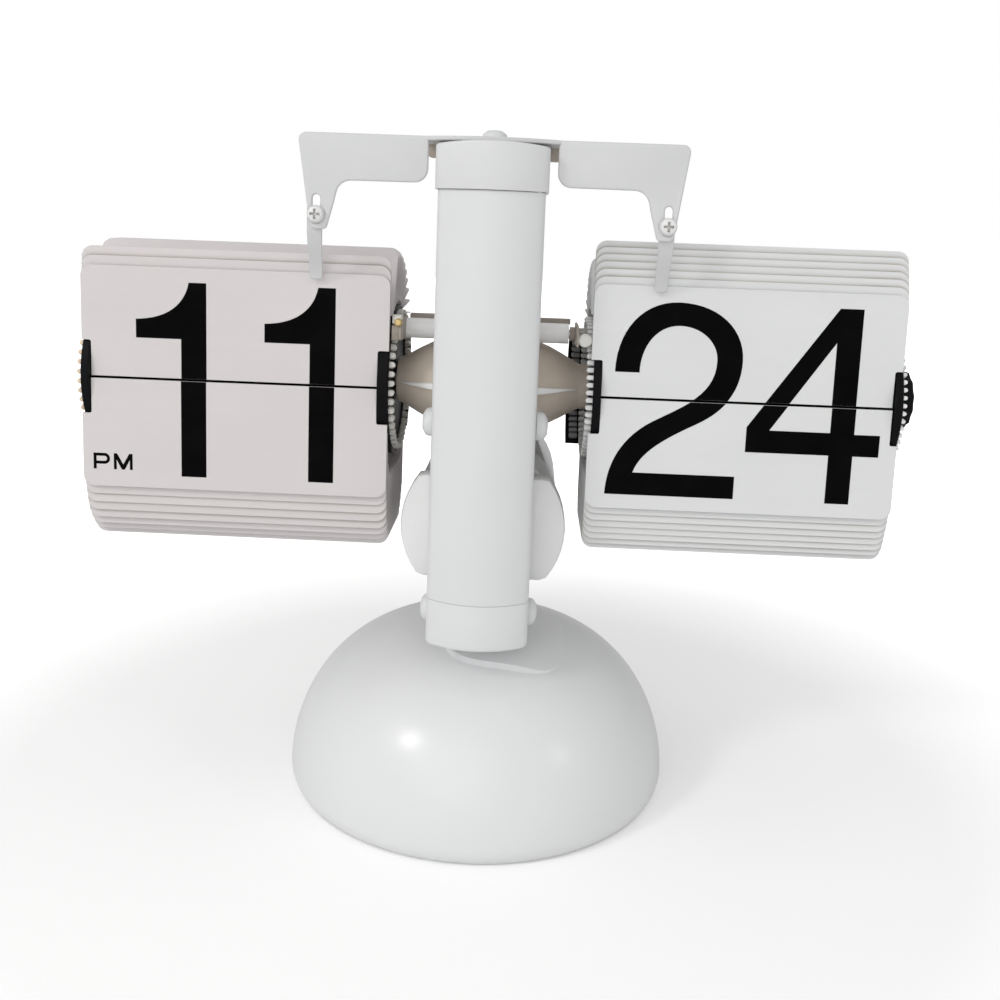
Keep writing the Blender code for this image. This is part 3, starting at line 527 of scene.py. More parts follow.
def leaf_shape(word):
    """Outline (x, s) of one leaf: s runs from the hinge edge to the free edge."""
    a, b = leaf_span(word)
    near, far = NOTCH[word]
    free, r, nook = LEAF_L, CORNER_R, 0.5
    out = [(a + near, HINGE_GAP), (a + near, NOTCH_H - nook)]
    out += arc(a + near - nook, NOTCH_H - nook, nook, 0, 90, 3)[1:]
    out += [(a, NOTCH_H)]
    out += arc(a + r, free - r, r, 180, 90, 8)
    out += arc(b - r, free - r, r, 90, 0, 8)
    out += [(b, NOTCH_H)]
    out += arc(b - far + nook, NOTCH_H - nook, nook, 90, 180, 3)
    out += [(b - far, HINGE_GAP)]
    return out


def leaf_solids(word, places, thick):
    """Points and faces of leaves. A place is a hinge point (y, z), the leaf's way and its thin way."""
    shape = leaf_shape(word)
    verts, faces = [], []
    for hinge, way, thin in places:
        faces += slab_faces(len(shape), len(verts))
        for shift in (0.0, thick):
            for x, s in shape:
                verts.append((SIDE[word] * x, hinge[0] + way[0] * s + thin[0] * shift,
                              hinge[1] + way[1] * s + thin[1] * shift))
    return verts, faces


def pivot(phi):
    """Place (y, z) of the pivot that lies phi degrees round from the front."""
    a = math.radians(phi)
    return (-PIVOT_R * math.cos(a), AXIS + PIVOT_R * math.sin(a))


def upright_places(word, step):
    """Leaves that stand behind the front one, each a little higher."""
    out = []
    for k in range(1, UPRIGHT_COUNT[word] + 1):
        y = HINGE_Y + PACK_START + PACK_PITCH * (k - 1)
        out.append(((y, pivot(k * step)[1]), (0, 1), (1, 0)))
    return out


def draped_places(word, step):
    """Leaves that lie back over the drum like a fan."""
    out = []
    phi = (UPRIGHT_COUNT[word] + 1) * step + DRAPE_GAP[word]
    while phi <= DRAPE_END + 0.01:
        a = math.radians(phi - DRAPE_LEAN)
        out.append((pivot(phi), (math.sin(a), math.cos(a)), (math.cos(a), -math.sin(a))))
        phi += step
    return out


def hanging_places(word, step):
    """Leaves that hang from the lower half of the drum, gathered at the front."""
    out = []
    y = HINGE_Y + PACK_START
    theta = step
    while theta <= HANG_END:
        y = max(y, pivot(theta)[0])
        z = AXIS - min(HANG[word], PIVOT_R * math.sin(math.radians(theta)))
        out.append(((y, z), (0, -1), (1, 0)))
        y += PACK_PITCH
        theta += step
    return out


def build_leaves(word):
    """A drum's packs of thin leaves, and its two front leaves. The lower front leaf rides on its own body."""
    step = 360.0 / LEAF_COUNT[word]
    mat = word + "_leaf"
    packs = (("upright", upright_places(word, step)), ("draped", draped_places(word, step)),
             ("hanging", hanging_places(word, step)))
    for kind, places in packs:
        verts, faces = leaf_solids(word, places, PACK_LEAF)
        ob = add_mesh("%s_pack_%s" % (word, kind), verts, faces, mat)
        stands_for(ob, "%s_leaves_%s" % (word, kind))
    for kind, y, way, body in (("upper", LEAF_LO.y, 1, FRAME), ("lower", LOW_LO.y, -1, word + "_leaf")):
        verts, faces = leaf_solids(word, [((y, AXIS), (0, way), (1, 0))], LEAF_T)
        ob = add_mesh("%s_front_%s" % (word, kind), verts, faces, mat, body)
        stands_for(ob, "%s_leaf_%s_front" % (word, kind))


# Print

def figure_one(right):
    """A numeral one, from its right edge; heights are from the hinge line."""
    top, foot, stem = 23.4, -23.75, 6.1
    out = [(right, foot), (right, top), (right - 4.2, top)]
    out += bezier((right - 4.2, top), (right - 5.2, 18.0), (right - 9.6, 14.6), (right - 17.0, 14.35))
    out += [(right - 17.0, 9.85), (right - stem, 9.85), (right - stem, foot)]
    return [out]


def figure_two(x):
    """A numeral two, from its left edge."""
    out = [(x + 1.1, 6.3)]
    out += bezier((x + 1.1, 6.3), (x + 1.1, 16.4), (x + 7.0, 23.25), (x + 15.4, 23.25))
    out += bezier((x + 15.4, 23.25), (x + 24.6, 23.25), (x + 31.1, 17.6), (x + 31.1, 9.9))
    out += bezier((x + 31.1, 9.9), (x + 31.1, 2.4), (x + 27.2, -2.3), (x + 21.1, -5.5))
    out += bezier((x + 21.1, -5.5), (x + 14.2, -9.1), (x + 8.1, -12.6), (x + 6.5, -17.9))
    out += [(x + 30.9, -17.9), (x + 30.9, -23.4), (x, -23.4)]
    out += bezier((x, -23.4), (x + 0.2, -16.0), (x + 3.3, -9.6), (x + 10.4, -5.4))
    out += bezier((x + 10.4, -5.4), (x + 18.0, -1.2), (x + 25.1, 1.6), (x + 25.1, 9.7))
    out += bezier((x + 25.1, 9.7), (x + 25.1, 14.3), (x + 20.9, 17.75), (x + 15.9, 17.75))
    out += bezier((x + 15.9, 17.75), (x + 10.7, 17.75), (x + 6.9, 13.0), (x + 6.9, 6.3))
    return [out]


def figure_four(x):
    """A numeral four, from its left edge."""
    stem0, stem1 = x + 19.8, x + 25.5
    bar0, bar1 = -11.75, -6.5
    out = [(stem0 + 0.2, 23.25), (stem1, 23.25), (stem1, bar1), (x + 31.6, bar1), (x + 31.6, bar0),
           (stem1, bar0), (stem1, -23.5), (stem0, -23.5), (stem0, bar0), (x, bar0), (x, -5.7)]
    inner = [(stem0, 15.2), (stem0, bar1 + 0.2), (x + 5.4, bar1 + 0.2)]
    return [out, inner]


LETTER_H = 3.95


def letter_p(x, z, pen=0.72):
    """A small letter P, from its lower left corner."""
    r = 1.35
    top = z + LETTER_H
    outer = [(x, z), (x, top)] + arc(x + 2.7, top - r, r, 90, -90, 10)
    outer += [(x + pen, top - 2 * r), (x + pen, z)]
    inner = [(x + pen, top - pen)] + arc(x + 2.7, top - r, r - pen, 90, -90, 10)
    inner += [(x + pen, top - 2 * r + pen)]
    return [outer, inner]


def letter_m(x, z, pen=0.68, width=4.6):
    """A small letter M, from its lower left corner."""
    mid, end, top = x + width / 2, x + width, z + LETTER_H
    return [[(x, z), (x, top), (x + pen * 1.2, top), (mid, z + 1.25), (end - pen * 1.2, top), (end, top),
             (end, z), (end - pen, z), (end - pen, top - 1.5), (mid + 0.36, z), (mid - 0.36, z),
             (x + pen, top - 1.5), (x + pen, z)]]


def print_on(name, loops, front, upper, body):
    """Raised print 0.04 mm proud of a leaf, cut at the hinge gap."""
    work = bmesh.new()
    work.from_mesh(filled_mesh(name, loops, 0.03))
    bmesh.ops.remove_doubles(work, verts=work.verts, dist=1e-4)
    sign = 1 if upper else -1
    bmesh.ops.bisect_plane(work, geom=work.verts[:] + work.edges[:] + work.faces[:],
                           plane_co=(0, sign * (HINGE_GAP + 0.02), 0), plane_no=(0, -sign, 0),
                           clear_outer=True)
    bmesh.ops.holes_fill(work, edges=[e for e in work.edges if e.is_boundary], sides=0)
    for v in work.verts:
        u, h, w = v.co
        v.co = Vector((u, front - 0.01 - w, AXIS + h)) * MM
    bmesh.ops.recalc_face_normals(work, faces=work.faces)
    mesh = bpy.data.meshes.new(name)
    work.to_mesh(mesh)
    work.free()
    mesh.materials.append(MAT["ink"])
    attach(new_object(name, mesh), body)


def build_print():
    """The figures, placed from the inner end of their leaf, and the letters, placed from its outer end."""
    hour_in, hour_out = leaf_span("hour")
    minute_in = leaf_span("minute")[0]
    figures = (("one_a", figure_one(-hour_in - 43.9), "hour"),
               ("one_b", figure_one(-hour_in - 12.9), "hour"),
               ("two", figure_two(minute_in + 4.6), "minute"),
               ("four", figure_four(minute_in + 37.6), "minute"))
    for name, loops, word in figures:
        print_on("print_%s_upper" % name, loops, LEAF_LO.y, True, FRAME)
        print_on("print_%s_lower" % name, loops, LOW_LO.y, False, word + "_leaf")
    letter_z = -22.65
    print_on("print_p", letter_p(-hour_out + 2.55, letter_z), LOW_LO.y, False, "hour_leaf")
    print_on("print_m", letter_m(-hour_out + 7.55, letter_z), LOW_LO.y, False, "hour_leaf")


# Drum details

def tongue(length, half):
    """Outline (along, across) of one pivot end with a round nose."""
    nose = arc(length - half, 0, half, -75, 75, 5)
    return [(0, -half), (length - half, -half)] + nose + [(length - half, half), (0, half)]


def tongue_points(shape, angle, radii, root, way):
    """Points of one pivot end at an angle round the axle, from its inner to its outer radius."""
    c, s = math.cos(angle), math.sin(angle)
    return [(root + way * u, c * r - s * v, AXIS + s * r + c * v) for r in radii for u, v in shape]


def tongue_ring(name, word, root, length, radii, share, mat):
    """Pivot ends standing out of a disc, one for each leaf. A positive length points outward."""
    count, side = LEAF_COUNT[word], SIDE[word]
    shape = tongue(abs(length), math.pi * sum(radii) / 2 / count * share)
    verts, faces = [], []
    for i in range(count):
        angle = 2 * math.pi * (i + 0.5) / count
        faces += slab_faces(len(shape), len(verts))
        verts += tongue_points(shape, angle, radii, side * root, side * math.copysign(1, length))
    return add_mesh(name, verts, faces, mat, word + "_wheel", smooth=40, bevel=0.16)


def disc(name, word, span, node):
    """A black disc with a raised rim, seen through the notches of the leaves."""
    near, far = span
    outline = [(19.0, near + 0.2), (18.8, near), (15.4, near), (15.2, near + 0.3), (3.0, near + 0.3),
               (2.2, near + 0.5), (2.2, far - 0.7), (15.0, far - 0.4), (15.2, far), (18.8, far),
               (19.0, far - 0.2)]
    profile = [(r, SIDE[word] * x) for r, x in outline]
    stands_for(lathe(name, profile, "X", (0, AXIS), "black", word + "_wheel"), node)


def build_pivots(word, inner_mat, outer_mat):
    """Both discs of a drum, with the pivots that carry its leaves."""
    inner, outer = disc_spans(word)
    sunk = 0.2
    beads = tongue_ring(word + "_pivots_inner", word, inner[0] + sunk, -PIVOT_LENGTH[word] - sunk,
                        (16.5, 17.8), 0.62, inner_mat)
    stands_for(beads, word + "_pivot_ring")
    disc(word + "_disc_inner", word, inner, word + "_flange_inner")
    disc(word + "_disc_outer", word, outer, word + "_flange_outer")
    tongue_ring(word + "_pivots_outer", word, outer[1] - sunk, 1.35, (16.9, 18.3), 0.55, outer_mat)


def build_guards():
    """Black rails behind both drums that keep the leaf pivots seated, each on a strut from the movement."""
    rear = node_box("movement_cover")[1].y
    front = rear - 1.4
    strut_half, foot_rear, strut_start = 2.6, 18.3, 8.4
    for word, width, low in (("hour", 1.1, -50), ("minute", 4.8, -62)):
        far = disc_spans(word)[0][0] - 0.25
        near = far - width
        band = arc(0, AXIS, 18.0, low, 47, 24) + arc(0, AXIS, 18.9, 47, low, 24)
        lo, hi = sorted((SIDE[word] * near, SIDE[word] * far))
        prism(word + "_rear_guard", band, "X", lo, hi, "black", smooth=40, bevel=0.15)
        parts = (("strut", strut_start, near + 0.6, rear), ("foot", near + 0.1, near + 1.0, foot_rear))
        for part, a, b, end in parts:
            outline = [(front, AXIS - strut_half), (end, AXIS - strut_half), (end, AXIS + strut_half),
                       (front, AXIS + strut_half)]
            lo, hi = sorted((SIDE[word] * a, SIDE[word] * b))
            # The struts take the shade-tinted arm finish: painted shade.
            prism("%s_guard_%s" % (word, part), outline, "X", lo, hi, "arm", bevel=0.15)


def build_rungs():
    """A row of rungs on the inner side of the minute guard."""
    shape = tongue(2.2, 0.55)
    root = disc_spans("minute")[0][0] - 2.0
    verts, faces = [], []
    for k in range(-10, 8):
        faces += slab_faces(len(shape), len(verts))
        verts += tongue_points(shape, math.radians(3 + 6 * k), (16.9, 18.1), root, -1)
    add_mesh("minute_guard_rungs", verts, faces, "grey", smooth=40)


def build_clips():
    """Small brackets that steady the carry shaft, with a nylon block on one side and a stud on the other."""
    shaft = middle("carry_shaft")
    z = shaft.z - 2.1
    near = reach("hour_flange_inner")[0] - 3.4
    plate = rounded_corners([(-17.2, z, 0.8), (-2.0, z - 0.4, 0.6), (-2.0, z + 4.9, 0.8),
                             (-14.0, z + 4.9, 1.2), (-17.2, z + 3.4, 0.9)])
    prism("left_clip_plate", plate, "X", -near - 0.55, -near, "brown", bevel=0.12)
    prism("right_clip_plate", plate, "X", near, near + 0.55, "brown", bevel=0.12)
    block = rounded_corners([(-17.1, z - 0.1, 0.5), (-14.3, z - 0.1, 0.3), (-14.3, z + 3.6, 0.3),
                             (-17.1, z + 3.6, 0.6)])
    prism("left_clip_block", block, "X", -near - 2.3, -near - 0.5, "smoke", smooth=40, bevel=0.15)
    upper = rounded_corners([(-16.4, z + 3.8, 0.4), (-12.4, z + 3.8, 0.3), (-12.4, z + 5.9, 0.6),
                             (-16.4, z + 5.9, 0.8)])
    prism("left_clip_upper", upper, "X", -near - 2.3, -near - 0.1, "cream", smooth=40, bevel=0.15)
    head = [(0, -17.9), (0.6, -17.9), (0.95, -17.6), (0.95, -16.4), (0, -16.4)]
    lathe("left_clip_screw", head, "Y", (-near - 0.7, z + 4.3), "brass", segs=32)
    stud = [(0, -17.7), (1.25, -17.7), (1.6, -17.3), (1.6, -15.6), (0, -15.6)]
    lathe("right_clip_stud", stud, "Y", (near + 2.0, z + 1.7), "cream", segs=48)
    collar = [(1.15, near - 1.3), (1.75, near - 1.3), (1.75, near), (1.15, near)]
    lathe("right_shaft_collar", collar, "X", (shaft.y, shaft.z), "brown", segs=40)


# Foot and upright

DOME_LO, DOME_HI = node_box("base_dome")
DOME_R, DOME_TOP = DOME_HI.x, DOME_HI.z
# Height of the dome's widest ring, and the powers of its section across and upward (2 is a circle)
WAIST_Z = 4.5
ACROSS, UPWARD = 2.88, 1.85


def dome_z(r):
    """Height of the dome's surface at a distance from its axis."""
    t = math.asin(min(1.0, (r / DOME_R) ** (ACROSS / 2)))
    return WAIST_Z + (DOME_TOP - WAIST_Z) * math.cos(t) ** (2 / UPWARD)


def dome_curve(inset, n):
    """Section (radius, height) of the dome from its top to its rim, moved in by an inset."""
    tuck = 1.4
    out = []
    for i in range(n + 1):
        t = math.pi / 2 * i / n
        r = (DOME_R - inset) * math.sin(t) ** (2 / ACROSS)
        z = WAIST_Z + (DOME_TOP - inset - WAIST_Z) * max(0.0, math.cos(t)) ** (2 / UPWARD)
        out.append((r, z))
    for k in range(1, 7):
        f = k / 6
        out.append((DOME_R - inset - tuck * f * f, WAIST_Z + (DOME_LO.z + 0.25 - WAIST_Z) * f))
    return out


def build_foot():
    """The domed shell of the foot, with a small soft edge at the floor."""
    outer = dome_curve(0, 56)
    outer[-1] = (outer[-1][0] - 0.12, outer[-1][1])
    edge = [(outer[-1][0] - 0.2, DOME_LO.z)]
    inner = dome_curve(1.8, 24)[::-1]
    inner[0] = (inner[0][0] + 0.1, DOME_LO.z)
    shell = lathe("dome_shell", outer + edge + inner, "Z", (0, 0), "dome", segs=160)
    stands_for(shell, "base_dome")


# Half sizes of the collar's lip, and the power of its outline (2 is an ellipse)
LIP_HALF = (15.6, 18.1)
LIP_POWER = 3.0


def lip_point(centre, share, angle):
    """Place (x, y) on the lip, at a share of the way from its centre to its rounded-square edge."""
    out = []
    for mid, half, turn in zip(centre, LIP_HALF, (math.cos(angle), math.sin(angle))):
        out.append(mid + half * share * math.copysign(abs(turn) ** (2 / LIP_POWER), turn))
    return out


def lip_lift(x, right):
    """Height of the lip above the dome, which fades to nothing at its right end."""
    share = min(1.0, max(0.0, (right + 2.0 - x) / 16.0))
    return 1.7 * share * share * (3 - 2 * share)


def build_lip():
    """A low lip that hugs the dome under the upright."""
    lo, hi = node_box("column_foot_cap")
    centre = (hi.x - 6.1, lo.y + 28.0)
    rings, segs = 12, 120
    verts, faces = [], []
    for level in (0, 1):
        for k in range(rings + 1):
            edge_drop = 0.12 if k == rings else 0.0
            for i in range(segs):
                x, y = lip_point(centre, k / rings, 2 * math.pi * i / segs)
                raised = lip_lift(x, centre[0] + LIP_HALF[0]) - edge_drop if level else -0.25
                verts.append((x, y, dome_z(math.hypot(x, y)) + raised))
    row = (rings + 1) * segs
    turns = [(i, (i + 1) % segs) for i in range(segs)]
    for base in (0, row):
        for k in range(rings):
            a, b = base + k * segs, base + (k + 1) * segs
            faces += [[a + i, a + j, b + j, b + i] for i, j in turns]
    rim = rings * segs
    faces += [[rim + i, rim + j, row + rim + j, row + rim + i] for i, j in turns]
    add_mesh("collar_lip", verts, faces, "dome", smooth=50)


def build_boss():
    """The hidden boss inside the collar."""
    low, high = DOME_TOP - 0.5, node_box("base_collar")[1].z
    boss = [(0, low), (13.2, low), (12.4, high - 0.8), (11.8, high - 0.1), (0, high)]
    stands_for(lathe("collar_boss", boss, "Z", (0, 0), "dome", segs=72), "base_collar")


# The upright: half its width, radius and centre of its bowed front, and rise of the foot cap's joint
HALF = reach("column_cover")[1]
FRONT_R = 17.95
FRONT_Y = node_box("column_cover")[0].y + FRONT_R
JOINT_UP = 0.8


def column_outline(w, inset, rear, n=40):
    """Section of the upright: flat sides and a front bowed like part of a cylinder."""
    side = w - inset
    r = FRONT_R + (w - HALF) - inset
    turn = math.asin((side - 0.9) / r)
    bow = [(r * math.sin(turn * (1 - 2 * i / n)), FRONT_Y - r * math.cos(turn * (1 - 2 * i / n)))
           for i in range(n + 1)]
    edge = FRONT_Y - math.sqrt(r * r - side * side)
    first = bow[0]
    lead = (first[0] + 0.45 * math.cos(turn), first[1] + 0.45 * math.sin(turn))
    corner = bezier((side, edge + 1.2), (side, edge + 0.5), lead, first, 6)[:-1]
    right = [(side, rear), (side, edge + 1.2)] + corner
    left = [(-x, y) for x, y in right[::-1]]
    return right + bow + left


def build_upright():
    """The tall cover, the foot cap with its two side buttons, and the top cap."""
    lo, hi = node_box("column_cover")
    section = column_outline(HALF, 0, hi.y) + column_outline(HALF, 1.5, hi.y)[::-1]
    low = lo.z + JOINT_UP - 0.15
    cover = prism("upright_cover", section, "Z", low, hi.z + 0.2, "column", smooth=40)
    stands_for(cover, "column_cover")
    lo, hi = node_box("column_foot_cap")
    top = hi.z + JOINT_UP + 0.1
    foot = cup_shell("foot_cap", HALF + 0.04, hi.y, lo.z + JOINT_UP, top, True, "column", 0.9, 0.0)
    stands_for(foot, "column_foot_cap")
    for word, side in (("left", -1), ("right", 1)):
        screw = [(0, HALF - 0.8), (2.9, HALF - 0.8), (3.2, HALF + 0.1), (3.2, HALF + 0.7), (2.95, HALF + 1.2),
                 (2.2, HALF + 1.8), (0.9, HALF + 2.1), (0, HALF + 2.15)]
        at = middle("foot_screw_" + word)
        button = lathe("foot_button_" + word, [(r, side * x) for r, x in screw], "X", (at.y, at.z + 0.7),
                       "column", segs=48)
        stands_for(button, "foot_screw_" + word)
    lo, hi = node_box("column_top_cap")
    cap = cup_shell("top_cap", hi.x, hi.y, lo.z, hi.z + 0.2, False, "cap", 0.5, 0.75)
    stands_for(cap, "column_top_cap")


def cup_shell(name, w, rear, lo, hi, closed_low, mat, soft, crown):
    """A cap with the upright's section, open at the back and one end, with a soft edge at its closed end."""
    wall = 1.5
    shut, open_end = (lo, hi) if closed_low else (hi, lo)
    way = 1 if closed_low else -1
    rows = []
    for k in range(6):
        a = math.pi / 2 * k / 5
        section = column_outline(w, soft * (1 - math.sin(a)), rear)
        rows.append((section, shut + way * soft * (1 - math.cos(a)), 1))
    rows.append((column_outline(w, 0.0, rear), open_end - way * 0.2, 0))
    rows.append((column_outline(w, 0.06, rear), open_end, 0))
    rows.append((column_outline(w, wall, rear), open_end, 0))
    rows.append((column_outline(w, wall, rear), shut + way * wall, 1))
    verts = []
    for section, z, share in rows:
        verts += [(x, y, z - share * crown * (x / w) ** 2) for x, y in section]
    return add_mesh(name, verts, cup_faces(len(rows), len(rows[0][0])), mat, smooth=40)


def cup_faces(rows, n):
    """Faces of a cap from rows of n points, n being odd: both closed ends, the walls and the rear edge."""
    faces = []
    for base in (0, (rows - 1) * n):
        for i in range(n // 2):
            j = n - 1 - i
            cell = [base + i, base + i + 1, base + j - 1, base + j]
            faces.append(list(dict.fromkeys(cell)))
    for r in range(rows - 1):
        for i in range(n - 1):
            faces.append([r * n + i, r * n + i + 1, (r + 1) * n + i + 1, (r + 1) * n + i])
    faces.append([r * n for r in range(rows)] + [r * n + n - 1 for r in range(rows - 1, -1, -1)])
    return faces


# Arms and beam


def build_arms():
    """The two cone-shaped arms with their front and rear fins."""
    skin = [(2.3, 8.9), (11.4, 8.9), (11.8, 9.3), (11.1, 11.8), (9.9, 14.9), (8.1, 18.3), (6.4, 21.2),
            (5.9, 22.2), (5.7, 22.9)]
    for word, side, drum in (("left", -1, "hour"), ("right", 1, "minute")):
        end = disc_spans(drum)[0][0] - 0.3
        profile = skin + [(5.6, end - 0.15), (5.4, end), (2.3, end)]
        arm = lathe(word + "_arm", [(r, side * x) for r, x in profile], "X", (0, AXIS), "arm")
        stands_for(arm, "arm_cone_" + word)
        build_fin(word + "_arm_fin_front", side, -1)
        build_fin(word + "_arm_fin_rear", side, 1)


def build_fin(name, side, flip):
    """A flat fin that tapers toward the drum."""
    fin = [(9.6, 13.3), (9.6, 10.0), (16.0, 8.0), (21.6, 5.4), (21.8, 6.3), (20.4, 7.3), (16.0, 10.3),
           (12.0, 12.4)]
    root, taper = 9.6, 0.074
    verts = [(side * x, flip * y, AXIS + half * (1.05 - taper * (x - root)))
             for half in (-1, 1) for x, y in fin]
    # The fins take the brighter sleeve white as a painted highlight on their faces.
    add_mesh(name, verts, slab_faces(len(fin)), "sleeve", smooth=30)


BEAM_HI = node_box("crossbeam")[1]
SCREW = middle("finger_screw_right")
TIP_LO = node_box("stop_finger_right")[0]
# Wing outline as (inward from the beam's end, down from its top, corner radius)
WING = ((0.0, 0.0, 1.7), (3.0, 21.4, 1.3), (6.7, 21.4, 1.1), (8.4, 15.2, 6.0), (9.5, 10.4, 3.4),
        (29.5, 10.3, 3.1), (29.5, 0.0, 0.9))
SLOT_HALF, SLOT_DOWN, SLOT_UP = 0.85, 1.1, 3.6
FINGER_LEAN = {"left": 0.9, "right": 0.15}
FINGER_SHIFT = {"left": 0.6, "right": 0.0}


def build_beam():
    """Bent sheet beam with two hooked wings, and the stop fingers behind their slots."""
    front, back = SCREW.y - 0.56, SCREW.y + 0.44
    for word, side in (("left", -1), ("right", 1)):
        outline = rounded_corners([(side * (BEAM_HI.x - u), BEAM_HI.z - v, r) for u, v, r in WING])
        slot = arc(side * SCREW.x, SCREW.z + SLOT_UP, SLOT_HALF, 0, 180, 8)
        slot += arc(side * SCREW.x, SCREW.z - SLOT_DOWN, SLOT_HALF, 180, 360, 8)
        slotted_plate(word + "_wing", outline, slot, front, back)
        build_finger(side, word)
    build_beam_plate(front, back)


def build_beam_plate(front, back):
    """The flat top of the beam round the upright, and the lip at its rear edge."""
    end, top, rear = BEAM_HI.x, BEAM_HI.z, BEAM_HI.y
    bow = arc(0, 0.6, 31.6, 241.5, 298.5, 24)
    right = [(15.6, front + 0.3, 0.4), (end - 1.8, back + 0.2, 0.3), (end - 1.8, back + 3.7, 0.6),
             (20.5, -21.5, 3.0), (16.2, -18.5, 1.5), (16.2, rear, 0.4)]
    left = [(-x, y, r) for x, y, r in right[::-1]]
    plate = rounded_corners([(x, y, 0) for x, y in bow] + right + left)
    stands_for(prism("beam_plate", plate, "Z", top - 0.95, top, "beam", bevel=0.2), "crossbeam")
    lip = rounded_corners([(-16.2, top - 0.4, 0.3), (-16.2, top - 4.0, 1.6), (16.2, top - 4.0, 1.6),
                           (16.2, top - 0.4, 0.3)])
    # The rear lip takes the shade-tinted arm finish: painted shade.
    prism("beam_lip", lip, "Y", rear - 1.0, rear, "arm", bevel=0.2)


def slotted_plate(name, outline, slot, y0, y1):
    """A flat plate with one hole and softly rolled edges."""
    mesh = filled_mesh(name, (outline, slot), (y1 - y0) / 2, 0.42)
    verts = [(v.co.x, (y0 + y1) / 2 - v.co.z, v.co.y) for v in mesh.vertices]
    faces = [list(f.vertices) for f in mesh.polygons]
    return add_mesh(name, verts, faces, "beam", smooth=50)


def bend_share(z):
    """How far down its bent part a height on the finger lies, from 0 to 1."""
    return min(1.0, max(0.0, (SCREW.z - 3.5 - z) / (SCREW.z - 3.5 - TIP_LO.z)))


def finger_rows(word):
    """Sections of a finger (height, middle, half width, front) from its round tip up to its square top."""
    foot, head, nose = TIP_LO.z, SCREW.z + 1.9, 0.8
    heights = [foot + 0.1, foot + 0.25, foot + 0.45] + list(np.linspace(foot + nose, head, 22))
    rows = []
    for z in heights:
        f = bend_share(z)
        share = min(1.0, (z - foot) / nose)
        half = 1.75 - 0.3 * f - 0.8 * (1 - math.sqrt(1 - (1 - share) ** 2))
        x = SCREW.x + FINGER_SHIFT[word] + FINGER_LEAN[word] * f
        back = TIP_LO.y + 7.1 * (f * f * (3 - 2 * f) * 0.35 + f * 0.65)
        rows.append((z, x, half, back))
    return rows


def build_finger(side, word):
    """A flat stop finger, bent back below the beam so that its tip holds the leaves."""
    rows = finger_rows(word)
    verts, faces = [], []
    for z, x, half, y in rows:
        for dx, dy in ((-half, 0), (half, 0), (half, 0.7), (-half, 0.7)):
            verts.append((side * (x + dx), y + dy, z))
    n = len(rows)
    faces += [[0, 1, 2, 3], [4 * n - 4, 4 * n - 3, 4 * n - 2, 4 * n - 1]]
    for r in range(n - 1):
        for k in range(4):
            m = (k + 1) % 4
            faces.append([4 * r + k, 4 * r + m, 4 * r + 4 + m, 4 * r + 4 + k])
    ob = add_mesh(word + "_finger", verts, faces, "beam", "finger_" + word, smooth=45, bevel=0.15)
    stands_for(ob, "stop_finger_" + word)


# CAD finishes

FINISH = {
    "column": ("cover_screw", "foot_screw", "cap_screw"),
    "screw": ("finger_screw",),
    "beam": ("crossbeam", "stop_finger"),
    "sleeve": ("carry_sleeve",),
    "arm": ("arm_cone",),
    "drum": ("drum_front", "battery_barrel", "battery_lid", "movement_case", "movement_cover"),
    "black": ("hour_flange", "minute_flange", "hour_hub", "minute_hub", "setting_knob"),
    "cream": ("carry_pinion", "reduction_gear", "drive_gear"),
    "steel": ("base_plate", "battery_spring", "carry_shaft", "foot_bolt", "hour_axle", "minute_axle",
              "motor"),
    "brass": ("battery_contact", "motor_pinion"),
    "brown": ("stay_bar",),
    "grey": ("column_chassis",),
    "rubber": ("base_pad",),
    "iron": ("base_weight",),
}


def finish_for(name):
    """The finish with the longest listed start that a node's name has, or else the upright's."""
    fits = [(len(start), kind) for kind, starts in FINISH.items() for start in starts
            if name.startswith(start)]
    return max(fits)[1] if fits else "column"


def dress_cad():
    """Gives every CAD node its finish, and shades its round faces as round."""
    for name, ob in frame["nodes"].items():
        mat = MAT[finish_for(name)]
        ob.data.materials.clear()
        ob.data.materials.append(mat)
        if ob.hide_render:
            continue
        weld = ob.modifiers.new("weld", "WELD")
        weld.merge_threshold = 0.00001
        for face in ob.data.polygons:
            face.use_smooth = True
        split = ob.modifiers.new("split", "EDGE_SPLIT")
        split.split_angle = math.radians(33)


# The stage

FLOOR_HALF = 3.0
# Glow of the floor as the camera sees it, close to the clock, and where it rises to plain white, in metres
FLOOR_LIFT = 0.20
FLOOR_FADE = (0.12, 0.36)
# Strength of the room's light from the front and from behind, and how much its left side counts as front
ROOM_FRONT = 0.80
ROOM_BACK = 0.50
ROOM_LEAN = 0.45
# Place in metres, size, power and colour of each light
LIGHTS = {
    "key": ((-0.726, -0.671, 0.758), 0.21, 2.5, (1.0, 0.995, 0.98)),
    "front": ((-0.25, -1.15, 0.55), 1.1, 2.5, (1.0, 1.0, 0.995)),
    "glint": ((0.79, -0.49, 0.47), 0.10, 0.35, (1.0, 1.0, 1.0)),
}


def build_stage():
    """The floor, the room and the lights."""
    h = FLOOR_HALF
    mesh = bpy.data.meshes.new("floor")
    mesh.from_pydata([(-h, -h, 0), (h, -h, 0), (h, h, 0), (-h, h, 0)], [], [(0, 1, 2, 3)])
    mesh.materials.append(floor_material())
    new_object("floor", mesh)
    bpy.context.scene.view_settings.view_transform = "Standard"
    build_world()
    for name, values in LIGHTS.items():
        add_light(name, *values)


